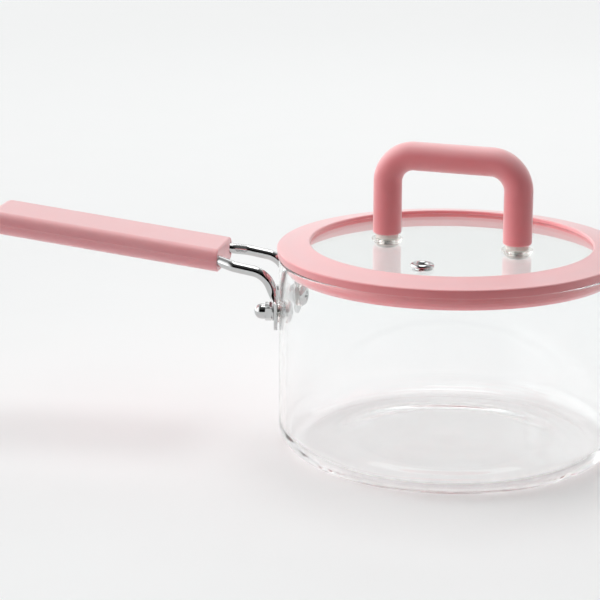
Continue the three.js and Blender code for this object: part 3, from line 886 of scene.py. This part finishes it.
@dataclass
class HandleBolts:
    """The two screws through the pot wall with their gaskets, washers and cap nuts."""

    pot: GlassPot
    height: float = 65.4
    spread: float = math.radians(11.7)
    screw: TrussScrew = TrussScrew(shank=2.5, head=5.0, head_height=2.2)
    engagement: float = 4.6
    tip_room: float = 0.6
    bore: float = 2.75
    gasket: float = 5.5
    inner_gasket: float = 1.2
    inner_gasket_edge: float = 0.3
    outer_gasket: float = 0.6
    outer_gasket_edge: float = 0.2
    washer: float = 4.5
    washer_thickness: float = 0.7
    washer_edge: float = 0.2
    tab: float = 1.8
    flats: float = 8.0
    hexagon: float = 3.2
    hexagon_edge: float = 0.3
    chamfer: float = 0.55
    chamfer_drop: float = 0.33
    chamfer_overlap: float = 0.02
    dome: float = 3.6
    nut: float = 8.2

    def place(self, side: Side) -> Matrix:
        """Turn and shift that send Z outwards along one bolt."""
        turn = Matrix.Rotation(math.pi - side.value * self.spread, 4, "Z")
        return Matrix.Translation((0, 0, self.height)) @ turn @ Matrix.Rotation(math.pi / 2, 4, "Y")

    def cap_nut(self, name: str, place: Matrix, face: float) -> Piece:
        """A cap nut with chamfered corners and a blind bore.

        Args:
            name: Name of the object.
            place: Where it stands.
            face: Height of its bearing face.

        Returns:
            The nut.
        """
        corner = self.flats / math.sqrt(3)
        top = face + self.hexagon
        corners = arc((0.0, 0.0), corner, 0, 300, steps=5)
        outline = rounded_profile([(x, y, self.hexagon_edge) for x, y in corners], steps=3)
        nut = solid(name, skin([[Vector((x, y, z)) for x, y in outline] for z in (face, top)]), place)
        # The chamfers are turned: a body of revolution takes off the hexagon's corners
        wide, tight = corner + self.chamfer_overlap, corner - self.chamfer
        turned = [
            (0.0, face), (tight, face), (wide, face + self.chamfer_drop),
            (wide, top - self.chamfer_drop), (tight, top), (0.0, top)]
        carve(nut, [solid("turned", lathe(turned, SMALL_SIDES), place)], Cut.KEEP_COMMON)
        middle = face + self.hexagon / 2
        cap = [
            (0.0, middle), (self.dome, middle),
            *arc((0.0, face + self.nut - self.dome), self.dome, 0, 90, steps=16)]
        carve(nut, [solid("cap", lathe(cap, SMALL_SIDES), place)], Cut.ADD)
        carve(nut, [rod(self.bore, (face - OVERCUT, face + self.engagement + self.tip_room), place)])
        return nut

    def build(self, wardrobe: Wardrobe) -> None:
        """Makes both bolts.

        Args:
            wardrobe: Finishes.
        """
        pot = self.pot
        tab_face = pot.radius + self.outer_gasket + SEAT_GAP
        washer_face = tab_face + self.tab + SEAT_GAP
        nut_face = washer_face + self.washer_thickness + SEAT_GAP
        head_face = pot.inner - self.inner_gasket - SEAT_GAP
        for side in Side:
            word = side.name.lower()
            place = self.place(side)
            screw = self.screw.build(
                f"{word}_handle_screw_dressed", place, head_face, nut_face + self.engagement)
            dress(screw, wardrobe["steel"], Body.POT)
            # The gaskets start too thick, and the pot's cylinders trim them to the glass
            inside = flat_washer(
                f"{word}_inner_gasket_dressed", place, self.gasket, self.bore,
                (pot.inner - self.inner_gasket, pot.radius), self.inner_gasket_edge)
            trim = rod(pot.inner - SEAT_GAP, (0.0, pot.height), sides=ROUND_SIDES)
            carve(inside, [trim], Cut.KEEP_COMMON)
            dress(inside, wardrobe["clear"], Body.POT)
            outside = flat_washer(
                f"{word}_outer_gasket_dressed", place, self.gasket, self.bore,
                (pot.inner, pot.radius + self.outer_gasket), self.outer_gasket_edge)
            carve(outside, [rod(pot.radius + SEAT_GAP, (0.0, pot.height), sides=ROUND_SIDES)])
            dress(outside, wardrobe["clear"], Body.POT)
            plate = flat_washer(
                f"{word}_steel_washer_dressed", place, self.washer, self.bore,
                (washer_face, washer_face + self.washer_thickness), self.washer_edge)
            dress(plate, wardrobe["steel"], Body.POT)
            nut = self.cap_nut(f"{word}_cap_nut_dressed", place, nut_face)
            dress(nut, wardrobe["steel"], Body.POT)


@dataclass
class WireHandle:
    """Bent wire loop with pressed tabs, and the silicone bar on its closed end."""

    pot: GlassPot
    bolts: HandleBolts
    wire: float = 2.5
    bend: float = 11.0
    arm_tilt: float = math.radians(10)
    jog_bend: float = 10.0
    jog_start: float = 100.0
    tab_width: float = 11.0
    tab_below: float = 9.2
    tab_above: float = 4.7
    transition: float = 2.4
    press: float = 9.0
    press_ease: float = 2.5
    press_steps: int = 8
    tip_step: int = 6
    mouth: float = 108.0
    mouth_height: float = 87.3
    mouth_edge: float = 0.8
    mouth_flare: float = 0.7
    length: float = 113.0
    width: float = 33.0
    thickness: float = 11.0
    edge: float = 4.6
    corner: float = 5.0
    grip_tilt: float = math.radians(7)
    end_wall: float = 5.0
    wire_spacing: float = 26.0
    ridge: float = 0.3
    ridge_foot: float = 0.35
    ridge_top: float = 0.2
    clearance: float = 0.15

    def grip_height(self, reach: float) -> float:
        """Height of the grip's middle at a distance from the pot's axis."""
        return self.mouth_height + (reach - self.mouth) * math.tan(self.grip_tilt)

    def arm_height(self, reach: float) -> float:
        """Height of the bare arms' centre line at a distance from the pot's axis."""
        return self.mouth_height - (self.mouth - reach) * math.tan(self.arm_tilt)

    def half_path(self) -> list[Station]:
        """Centre line from the middle of the closed end to the start of the front tab.

        Returns:
            Stations of the bent wire.
        """
        bolts = self.bolts
        closed_end = self.mouth + self.length - self.end_wall - self.wire
        half = self.wire_spacing / 2
        axis = self.pot.radius + bolts.outer_gasket + SEAT_GAP + self.wire
        arm_reach = axis * math.cos(bolts.spread)
        arm_side = axis * math.sin(bolts.spread)
        arm_end = self.arm_height(arm_reach)
        tab_start = bolts.height + self.tab_above + self.transition
        points = [
            Vector((-closed_end, 0, self.grip_height(closed_end))),
            Vector((-closed_end, -half, self.grip_height(closed_end))),
            Vector((-self.mouth, -half, self.mouth_height)),
            Vector((-self.jog_start, -arm_side, self.arm_height(self.jog_start))),
            Vector((-arm_reach, -arm_side, arm_end)),
            Vector((-arm_reach, -arm_side, tab_start)),
        ]
        bend = min(self.bend, (arm_end - tab_start) / math.tan((math.pi / 2 - self.arm_tilt) / 2))
        return rounded_path(points, [half, self.jog_bend, self.jog_bend, bend])

    def arm_rings(self, stations: Sequence[Station], radius: float) -> list[Ring]:
        """Round rings along the wire, for the wire itself or its channel."""
        up = Vector((math.sin(self.grip_tilt), 0, math.cos(self.grip_tilt)))
        return tube_rings(stations, [radius] * len(stations), up)

    def pressed(self, station: Station, to_flat: float, half_wide: float) -> Ring:
        """Section of the wire on its way into the tab, which keeps its pot side and its area.

        Args:
            station: Where the round wire's centre line is and which way it goes.
            to_flat: Distance still to go until the wire is flat.
            half_wide: Widest half width that the tab allows here.

        Returns:
            The section's points.
        """
        share = 1 - min(max(to_flat / self.press, 0.0), 1.0)
        flat = share**self.press_ease
        level = Vector((math.sin(self.bolts.spread), -math.cos(self.bolts.spread), 0))
        half_thick = self.wire + (self.bolts.tab / 2 - self.wire) * flat
        # A stadium of this half width has the round wire's area
        area = math.pi * self.wire**2
        spread = (area + (4 - math.pi) * half_thick**2) / (4 * half_thick)
        toward_pot = Vector((0, -1, 0)).lerp(level, flat).cross(station.tangent).normalized()
        wide = station.tangent.cross(toward_pot)
        centre = station.point + toward_pot * (self.wire - half_thick)
        half = (max(min(spread, half_wide), half_thick), half_thick)
        return stadium(centre, wide, toward_pot, half)

    def half_rings(self, path: Sequence[Station]) -> list[Ring]:
        """Rings of the front half of the wire, from the closed end to the tab's half-round tip.

        Args:
            path: Centre line of the round wire.

        Returns:
            Round rings, then those that the press has flattened.
        """
        down = Vector((0, 0, -1))
        foot = path[-1].point
        half_tab = self.tab_width / 2
        to_flat = [self.transition]
        for here, after in zip(path[-2::-1], path[:0:-1]):
            to_flat.insert(0, to_flat[0] + (here.point - after.point).length)
        untouched = sum(distance > self.press for distance in to_flat)
        taken = zip(path[untouched:-1], to_flat[untouched:-1])
        spots = [(station, distance, half_tab) for station, distance in taken]
        for i in range(self.press_steps + 1):
            drop = self.transition * i / self.press_steps
            spots.append((Station(foot + down * drop, down), self.transition - drop, half_tab))
        round_start = self.transition + self.tab_above + self.tab_below - half_tab
        for angle in range(0, 90, self.tip_step):
            turn = math.radians(angle)
            drop = round_start + half_tab * math.sin(turn)
            spots.append((Station(foot + down * drop, down), 0.0, half_tab * math.cos(turn)))
        flattened = [self.pressed(*spot) for spot in spots]
        return [*self.arm_rings(path, self.wire)[:untouched], *flattened]

    def loop(self, half: Sequence[Ring]) -> Shape:
        """Mirrors half of the loop and skins the whole."""
        other = [[Vector((p.x, -p.y, p.z)) for p in ring] for ring in half]
        return skin([*other[::-1], *half[1:]])

    def section(self, from_end: float, inset: float, reach: float) -> Ring:
        """Closed section of the grip across its length, with the parting ridge on both sides.

        Args:
            from_end: Distance from the far end, which is rounded.
            inset: How far the section is drawn in, for the edge of the mouth.
            reach: Distance from the pot's axis.

        Returns:
            Points of the section.
        """
        flat_z = self.thickness / 2 - self.edge
        flat_y = self.width / 2 - self.corner
        near = max(self.corner - from_end, 0.0)
        deepest = min(from_end, self.edge)
        upper: list[Pair] = []
        steps = 12
        for i in range(steps + 1):
            turn = math.pi / 2 * (1 - i / steps)
            depth = min(self.edge * (1 - math.sin(turn)), deepest)
            y = flat_y + math.sqrt(max((self.corner - depth) ** 2 - near**2, 0.0))
            z = flat_z + math.sqrt(max(self.edge**2 - (self.edge - depth) ** 2, 0.0))
            upper.append((y - inset * math.sin(turn), z - inset * math.cos(turn)))
        side = flat_y + math.sqrt(max(self.corner**2 - near**2, 0.0)) - inset
        proud = flat_y + math.sqrt((self.corner + self.ridge) ** 2 - near**2) - inset
        seam = [(side, self.ridge_foot), (proud, self.ridge_top)]
        right = [(y, -z) for y, z in (*reversed(upper), *seam)]
        right += [*seam[::-1], *upper]
        whole = right + [(-y, z) for y, z in reversed(right)]
        rise = self.grip_height(reach)
        return [Vector((-reach, y, z + rise)) for y, z in whole]

    def grip_rings(self) -> list[Ring]:
        """Sections of the grip from the rounded edge of its mouth to its far end.

        Returns:
            One ring for each section.
        """
        rings = []
        mouth_steps, straight_steps, end_steps = 5, 12, 14
        for i in range(mouth_steps + 1):
            turn = math.pi / 2 * i / mouth_steps
            inset = self.mouth_edge * (1 - math.sin(turn))
            reach = self.mouth + self.mouth_edge * (1 - math.cos(turn))
            rings.append(self.section(self.length, inset, reach))
        straight = self.length - self.mouth_edge - self.corner
        for i in range(1, straight_steps + 1):
            gone = self.mouth_edge + straight * i / straight_steps
            rings.append(self.section(self.length - gone, 0.0, self.mouth + gone))
        for i in range(1, end_steps + 1):
            from_end = self.corner * (1 - math.sin(math.pi / 2 * i / end_steps))
            rings.append(self.section(from_end, 0.0, self.mouth + self.length - from_end))
        return rings

    def flare(self, side: Side) -> Piece:
        """The funnel that widens one channel at the grip's mouth.

        Args:
            side: Which of the two channels.

        Returns:
            The funnel, for carve.
        """
        wide, tight = self.wire + self.mouth_flare, self.wire + self.clearance
        rounding = wide - tight
        profile = [
            (0.0, -OVERCUT), (wide, -OVERCUT), (wide, 0.0),
            *arc((wide, rounding), rounding, -90, -180, steps=6), (0.0, rounding)]
        spot = Matrix.Translation((-self.mouth, side.value * self.wire_spacing / 2, self.mouth_height))
        inwards = Matrix.Rotation(self.grip_tilt - math.pi / 2, 4, "Y")
        return solid("flare", lathe(profile, SMALL_SIDES), spot @ inwards)

    def build(self, wardrobe: Wardrobe) -> None:
        """Makes the wire and the grip.

        Args:
            wardrobe: Finishes.
        """
        pot, bolts = self.pot, self.bolts
        path = self.half_path()
        wire = solid("handle_wire_dressed", self.loop(self.half_rings(path)))
        reach = (pot.inner, pot.radius + 2 * self.wire + pot.wall)
        carve(wire, [rod(bolts.bore, reach, bolts.place(side)) for side in Side])
        dress(wire, wardrobe["steel"], Body.POT)
        grip = solid("handle_grip_dressed", skin(self.grip_rings()))
        inside = [s for s in path if s.point.x <= self.wire - self.mouth]
        channel = self.loop(self.arm_rings(inside, self.wire + self.clearance))
        carve(grip, [solid("channel", channel), *(self.flare(side) for side in Side)])
        dress(grip, wardrobe["grip"], Body.POT)


@dataclass
class Lid:
    """Flat glass disc in its silicone rim, with the steam vent."""

    turn: float = math.radians(-10)
    seat: float = 92.55
    glass: float = 75.5
    glass_thickness: float = 4.0
    glass_chamfer: float = 0.5
    glass_sharp: float = math.radians(20)
    rim_inner: float = 65.5
    rim_outer: float = 81.0
    rim_undercut: float = 0.5
    rim_side: float = 3.9
    rim_lip: float = 1.9
    rim_rounding: float = 0.9
    rim_floor: float = 0.5
    groove: float = 0.1
    groove_edge: float = 0.15
    seat_edge: float = 0.3
    skirt_depth: float = 6.2
    skirt_outer: float = 76.4
    skirt_thickness: float = 5.2
    skirt_foot_edge: float = 0.5
    bead: float = 0.5
    bead_edge: float = 0.4
    neck: float = 1.6
    neck_edge: float = 0.2
    lead_in: float = 1.6
    lead_in_edge: float = 0.5
    vent_offset: float = 43.5
    vent: float = 5.4
    vent_bore: float = 2.5
    vent_sheet: float = 0.5
    vent_roll: float = 1.5
    vent_flange: float = 4.6
    vent_clearance: float = 0.25

    @property
    def place(self) -> Matrix:
        """The lid's turn on the pot."""
        return Matrix.Rotation(self.turn, 4, "Z")

    @property
    def vent_place(self) -> Matrix:
        """Where the vent stands."""
        return self.place @ Matrix.Translation((0, -self.vent_offset, 0))

    @property
    def under(self) -> float:
        """Height of the glass disc's underside."""
        return self.seat + self.rim_floor + self.groove

    @property
    def top(self) -> float:
        """Height of the glass disc's top."""
        return self.under + self.glass_thickness

    def build_glass(self, bow: "LidBow", wardrobe: Wardrobe) -> None:
        """Makes the disc with its ground edge and three holes.

        Args:
            bow: The bow whose screws go through it.
            wardrobe: Finishes.
        """
        bevel = self.glass_chamfer
        profile = [
            (0.0, self.under), (self.glass - bevel, self.under), (self.glass, self.under + bevel),
            (self.glass, self.top - bevel), (self.glass - bevel, self.top), (0.0, self.top)]
        disc = solid("lid_glass_dressed", lathe(profile, ROUND_SIDES), self.place)
        through = (self.under - OVERCUT, self.top + OVERCUT)
        vent_hole = self.vent_bore + self.vent_sheet + self.vent_clearance
        drills = [rod(bow.screw.shank + bow.glass_clearance, through, bow.place(leg)) for leg in Leg]
        carve(disc, [*drills, rod(vent_hole, through, self.vent_place)])
        dress(disc, wardrobe["lid_glass"], Body.LID, self.glass_sharp)

    def build_rim(self, wardrobe: Wardrobe) -> None:
        """Makes the silicone rim: sloped flange, groove, seat and beaded skirt.

        Args:
            wardrobe: Finishes.
        """
        groove = self.glass + self.groove
        groove_top = self.top + self.groove
        groove_floor = self.under - self.groove
        skirt_inner = self.skirt_outer - self.skirt_thickness
        foot = self.seat - self.skirt_depth
        corners = [
            (self.rim_inner, groove_top, self.groove_edge),
            (self.rim_inner, self.top + self.rim_lip, self.rim_rounding),
            (self.rim_outer, self.seat + self.rim_side, self.rim_rounding),
            (self.rim_outer - self.rim_undercut, self.seat, self.seat_edge),
            (self.skirt_outer - self.bead, self.seat, self.neck_edge),
            (self.skirt_outer - self.bead, self.seat - self.neck, self.bead_edge),
            (self.skirt_outer, self.seat - 2 * self.neck, self.bead_edge),
            (self.skirt_outer, foot + self.lead_in, self.lead_in_edge),
            (self.skirt_outer - 2 * self.bead, foot, self.bead_edge),
            (skirt_inner, foot, self.skirt_foot_edge),
            (skirt_inner, groove_floor, self.groove_edge),
            (groove, groove_floor, 0.0),
            (groove, groove_top, 0.0),
        ]
        shape = lathe(rounded_profile(corners, steps=6), ROUND_SIDES, closed=True)
        dress(solid("lid_rim_dressed", shape, self.place), wardrobe["silicone"], Body.LID)

    def build_vent(self, wardrobe: Wardrobe) -> None:
        """Makes the rolled eyelet.

        Args:
            wardrobe: Finishes.
        """
        barrel = self.vent_bore + self.vent_sheet
        top = self.top + SEAT_GAP
        under = self.under - SEAT_GAP
        middle = (self.vent + self.vent_bore) / 2
        half = (self.vent - self.vent_bore) / 2
        start = self.vent_sheet / 2
        crown = [(middle + half * x, top + start + (self.vent_roll - start) * y)
                 for x, y in arc((0.0, 0.0), 1.0, 0, 180, steps=24)]
        profile = [
            (barrel, top), (self.vent, top), *crown, (self.vent_bore, under - self.vent_sheet),
            (self.vent_flange, under - self.vent_sheet), (self.vent_flange, under), (barrel, under)]
        eyelet = solid("steam_vent_dressed", lathe(profile, SMALL_SIDES, closed=True), self.vent_place)
        dress(eyelet, wardrobe["steel"], Body.LID)

    def build(self, bow: "LidBow", wardrobe: Wardrobe) -> None:
        """Makes the disc, the rim and the vent.

        Args:
            bow: The bow that is screwed to the disc.
            wardrobe: Finishes.
        """
        self.build_glass(bow, wardrobe)
        self.build_rim(wardrobe)
        self.build_vent(wardrobe)


@dataclass
class LidBow:
    """Steel bow in a silicone sleeve, screwed to the lid's glass from below."""

    lid: Lid
    leg_spacing: float = 63.0
    rise: float = 40.6
    bend: float = 13.0
    sleeve: float = 6.7
    sleeve_end: float = 1.2
    sleeve_clearance: float = 0.15
    core: float = 4.0
    collar: float = 5.3
    collar_height: float = 2.0
    collar_edge: float = 0.35
    washer: float = 7.2
    washer_thickness: float = 0.9
    washer_edge: float = 0.15
    gasket: float = 6.0
    gasket_thickness: float = 0.8
    gasket_edge: float = 0.3
    screw: TrussScrew = TrussScrew(shank=2.5, head=5.2, head_height=2.1)
    screw_clearance: float = 0.25
    glass_clearance: float = 0.75
    engagement: float = 9.0
    tip_room: float = 0.6

    @property
    def bore(self) -> float:
        """Radius of the bores that a screw goes through or into."""
        return self.screw.shank + self.screw_clearance

    def place(self, leg: Leg) -> Matrix:
        """Where one leg stands."""
        return self.lid.place @ Matrix.Translation((leg.value * self.leg_spacing / 2, 0, 0))

    @property
    def collar_face(self) -> float:
        """Height of the collars' underside."""
        return self.lid.top + 2 * SEAT_GAP + self.washer_thickness

    @property
    def foot(self) -> float:
        """Height of the bow's feet."""
        return self.collar_face + self.collar_height + SEAT_GAP

    def build_bow(self, wardrobe: Wardrobe) -> None:
        """Makes the silicone sleeve, with rounded ends, and the steel core in it.

        Args:
            wardrobe: Finishes.
        """
        lid, foot = self.lid, self.foot
        half = self.leg_spacing / 2
        crown = lid.top + self.rise
        spots = ((-half, foot), (-half, crown), (half, crown), (half, foot))
        path = rounded_path([Vector((x, 0, z)) for x, z in spots], [self.bend, self.bend])
        left = []
        for radius, rise in arc((self.sleeve - self.sleeve_end, 0.0), self.sleeve_end, -90, 0, steps=6):
            spot = Vector((-half, 0, foot + self.sleeve_end + rise))
            left.append((Station(spot, Vector((0, 0, 1))), radius))
        right = [(Station(Vector((-s.point.x, 0, s.point.z)), Vector((0, 0, -1))), r) for s, r in left]
        rows = [*left, *((s, self.sleeve) for s in path[1:-1]), *reversed(right)]
        up = Vector((0, 1, 0))
        outside = tube_rings([s for s, _ in rows], [r for _, r in rows], up)
        inside = tube_rings(path, [self.core + self.sleeve_clearance] * len(path), up)
        shape = skin([*outside, *inside[::-1]], closed=True)
        sleeve = solid("lid_handle_sleeve_dressed", shape, lid.place)
        dress(sleeve, wardrobe["silicone"], Body.LID)
        shape = skin(tube_rings(path, [self.core] * len(path), up))
        core = solid("lid_handle_core_dressed", shape, lid.place)
        tapped = (foot - OVERCUT, foot + self.engagement + self.tip_room)
        carve(core, [rod(self.bore, tapped, self.place(leg)) for leg in Leg])
        dress(core, wardrobe["steel"], Body.LID)

    def build_leg(self, leg: Leg, wardrobe: Wardrobe) -> None:
        """Makes the collar, washer, gasket and screw of one leg.

        Args:
            leg: Which leg.
            wardrobe: Finishes.
        """
        lid, face = self.lid, self.collar_face
        word = leg.name.lower()
        spot = self.place(leg)
        gasket_top = lid.under - SEAT_GAP
        gasket_face = gasket_top - self.gasket_thickness
        rings = (
            ("collar", self.collar, (face, face + self.collar_height), self.collar_edge, "cloudy"),
            ("washer", self.washer, (lid.top + SEAT_GAP, face - SEAT_GAP), self.washer_edge, "clear"),
            ("gasket", self.gasket, (gasket_face, gasket_top), self.gasket_edge, "clear"),
        )
        for name, outer, span, edge, finish in rings:
            ring = flat_washer(f"{word}_leg_{name}_dressed", spot, outer, self.bore, span, edge)
            dress(ring, wardrobe[finish], Body.LID)
        screw = self.screw.build(
            f"{word}_leg_screw_dressed", spot, gasket_face - SEAT_GAP, self.foot + self.engagement)
        dress(screw, wardrobe["steel"], Body.LID)

    def build(self, wardrobe: Wardrobe) -> None:
        """Makes the bow and both of its legs.

        Args:
            wardrobe: Finishes.
        """
        self.build_bow(wardrobe)
        for leg in Leg:
            self.build_leg(leg, wardrobe)


@dataclass(frozen=True)
class SoftBox:
    """A rectangular lamp behind a diffuser, in metres and watts."""

    name: str
    spot: Triple
    aim: Triple
    size: Pair
    power: float
    mirrored: bool = True

    def build(self) -> None:
        """Hangs the lamp and points it."""
        lamp = bpy.data.lights.new(self.name, "AREA")
        lamp.shape = "RECTANGLE"
        lamp.size, lamp.size_y = self.size
        lamp.energy = self.power
        hung = bpy.data.objects.new(self.name, lamp)
        hung.location = self.spot
        hung.rotation_mode = "QUATERNION"
        hung.rotation_quaternion = (Vector(self.aim) - Vector(self.spot)).to_track_quat("-Z", "Y")
        hung.visible_glossy = self.mirrored
        bpy.context.scene.collection.objects.link(hung)


class Glow(NamedTuple):
    """A bright side of the room: where it starts and is full along an axis, and how bright it is."""

    axis: str
    start: float
    full: float
    level: float


@dataclass
class Studio:
    """Camera, white floor, soft lamps and the pale room round them."""

    eye: Triple = (0.1226, -0.9925, 0.3371)
    heading: Pair = (-0.1919, 0.9814)
    pitch: float = math.radians(-14.96)
    roll: float = math.radians(0.15)
    lens: float = 132.7
    sensor: float = 36.0
    nearest: float = 0.01
    floor_half: float = 6.0
    floor_drop: float = 0.00005
    room: str = "#FFFFFF"
    glass_bounces: int = 64
    paper_bounces: int = 6
    glows: tuple[Glow, ...] = (
        Glow("Y", -0.3, 0.5, 0.48),
        Glow("Y", 0.5, 0.9, 0.33),
        Glow("Z", 0.4, 0.95, 0.09),
        Glow("X", -0.4, -0.95, 2.4),
        Glow("X", 0.4, 0.95, 0.3),
    )
    # The front lamp only fills the near sides; in a mirror it would lay a patch on the glass
    # that the photograph doesn't show
    lamps: tuple[SoftBox, ...] = (
        SoftBox("overhead_softbox", (-0.05, 0.21, 1.2), (-0.05, 0.1, 0.0), (0.5, 0.78), 4.1),
        SoftBox("back_top_softbox", (0.0, 1.1, 1.0), (0.0, 0.0, 0.1), (1.2, 0.5), 2.05),
        SoftBox("front_top_softbox", (-0.4, -0.6, 1.3), (0.0, 0.0, 0.1), (1.2, 0.9), 2.9, mirrored=False),
    )

    def build_camera(self) -> None:
        """Stands the camera where the photograph was taken from."""
        data = bpy.data.cameras.new("camera")
        data.lens = self.lens
        data.sensor_width = self.sensor
        data.clip_start = self.nearest
        camera = bpy.data.objects.new("camera", data)
        level = math.cos(self.pitch)
        ahead = Vector((self.heading[0] * level, self.heading[1] * level, math.sin(self.pitch)))
        camera.location = self.eye
        camera.rotation_mode = "QUATERNION"
        turn = ahead.normalized().to_track_quat("-Z", "Y")
        camera.rotation_quaternion = turn @ Matrix.Rotation(self.roll, 3, "Z").to_quaternion()
        bpy.context.scene.collection.objects.link(camera)
        bpy.context.scene.camera = camera

    def build_floor(self) -> None:
        """Lays the paper floor, a hair below the pot's base."""
        shape = bmesh.new()
        half = self.floor_half
        corners = ((-half, -half), (half, -half), (half, half), (-half, half))
        shape.faces.new([shape.verts.new((x, y, -self.floor_drop)) for x, y in corners])
        mesh = bpy.data.meshes.new("floor")
        shape.to_mesh(mesh)
        shape.free()
        floor = bpy.data.objects.new("floor", mesh)
        mesh.materials.append(StudioPaper().material())
        bpy.context.scene.collection.objects.link(floor)

    def build_room(self) -> None:
        """Paints the room that glass and steel mirror: bright on the left, dark behind the camera."""
        world = bpy.data.worlds.new("studio_room")
        bpy.context.scene.world = world
        world.use_nodes = True
        tree = world.node_tree
        tree.nodes.clear()
        place = add_node(tree, "ShaderNodeTexCoord").outputs["Generated"]
        axes = add_node(tree, "ShaderNodeSeparateXYZ", {"Vector": place})
        light: Socket | float = 0.0
        for glow in self.glows:
            side = add_node(tree, "ShaderNodeMapRange", {
                "Value": axes.outputs[glow.axis], "From Min": glow.start, "From Max": glow.full,
                "To Max": glow.level}, {"interpolation_type": "SMOOTHSTEP"})
            light = add_node(tree, "ShaderNodeMath", {0: light, 1: side.outputs["Result"]}).outputs["Value"]
        backdrop = add_node(tree, "ShaderNodeBackground", {"Color": linear(self.room), "Strength": light})
        add_node(tree, "ShaderNodeOutputWorld", {"Surface": backdrop.outputs["Background"]})

    def build(self) -> None:
        """Sets up the whole studio."""
        self.build_camera()
        self.build_floor()
        self.build_room()
        for lamp in self.lamps:
            lamp.build()
        scene = bpy.context.scene
        scene.view_settings.view_transform = "Standard"
        # Glass behind glass needs sharp mirrors and many bounces, or its overlaps turn black
        scene.cycles.blur_glossy = 0.0
        scene.cycles.max_bounces = self.glass_bounces
        scene.cycles.transmission_bounces = self.glass_bounces
        scene.cycles.glossy_bounces = self.glass_bounces
        scene.cycles.diffuse_bounces = self.paper_bounces


def main() -> None:
    """Builds the studio and the pan, piece by piece."""
    logging.basicConfig(level=logging.INFO, format="%(message)s")
    wardrobe = Wardrobe(Finishes())
    Studio().build()
    pot = GlassPot()
    bolts = HandleBolts(pot)
    pot.build(bolts, wardrobe)
    bolts.build(wardrobe)
    WireHandle(pot, bolts).build(wardrobe)
    lid = Lid()
    bow = LidBow(lid)
    lid.build(bow, wardrobe)
    bow.build(wardrobe)


if __name__ == "__main__":
    main()
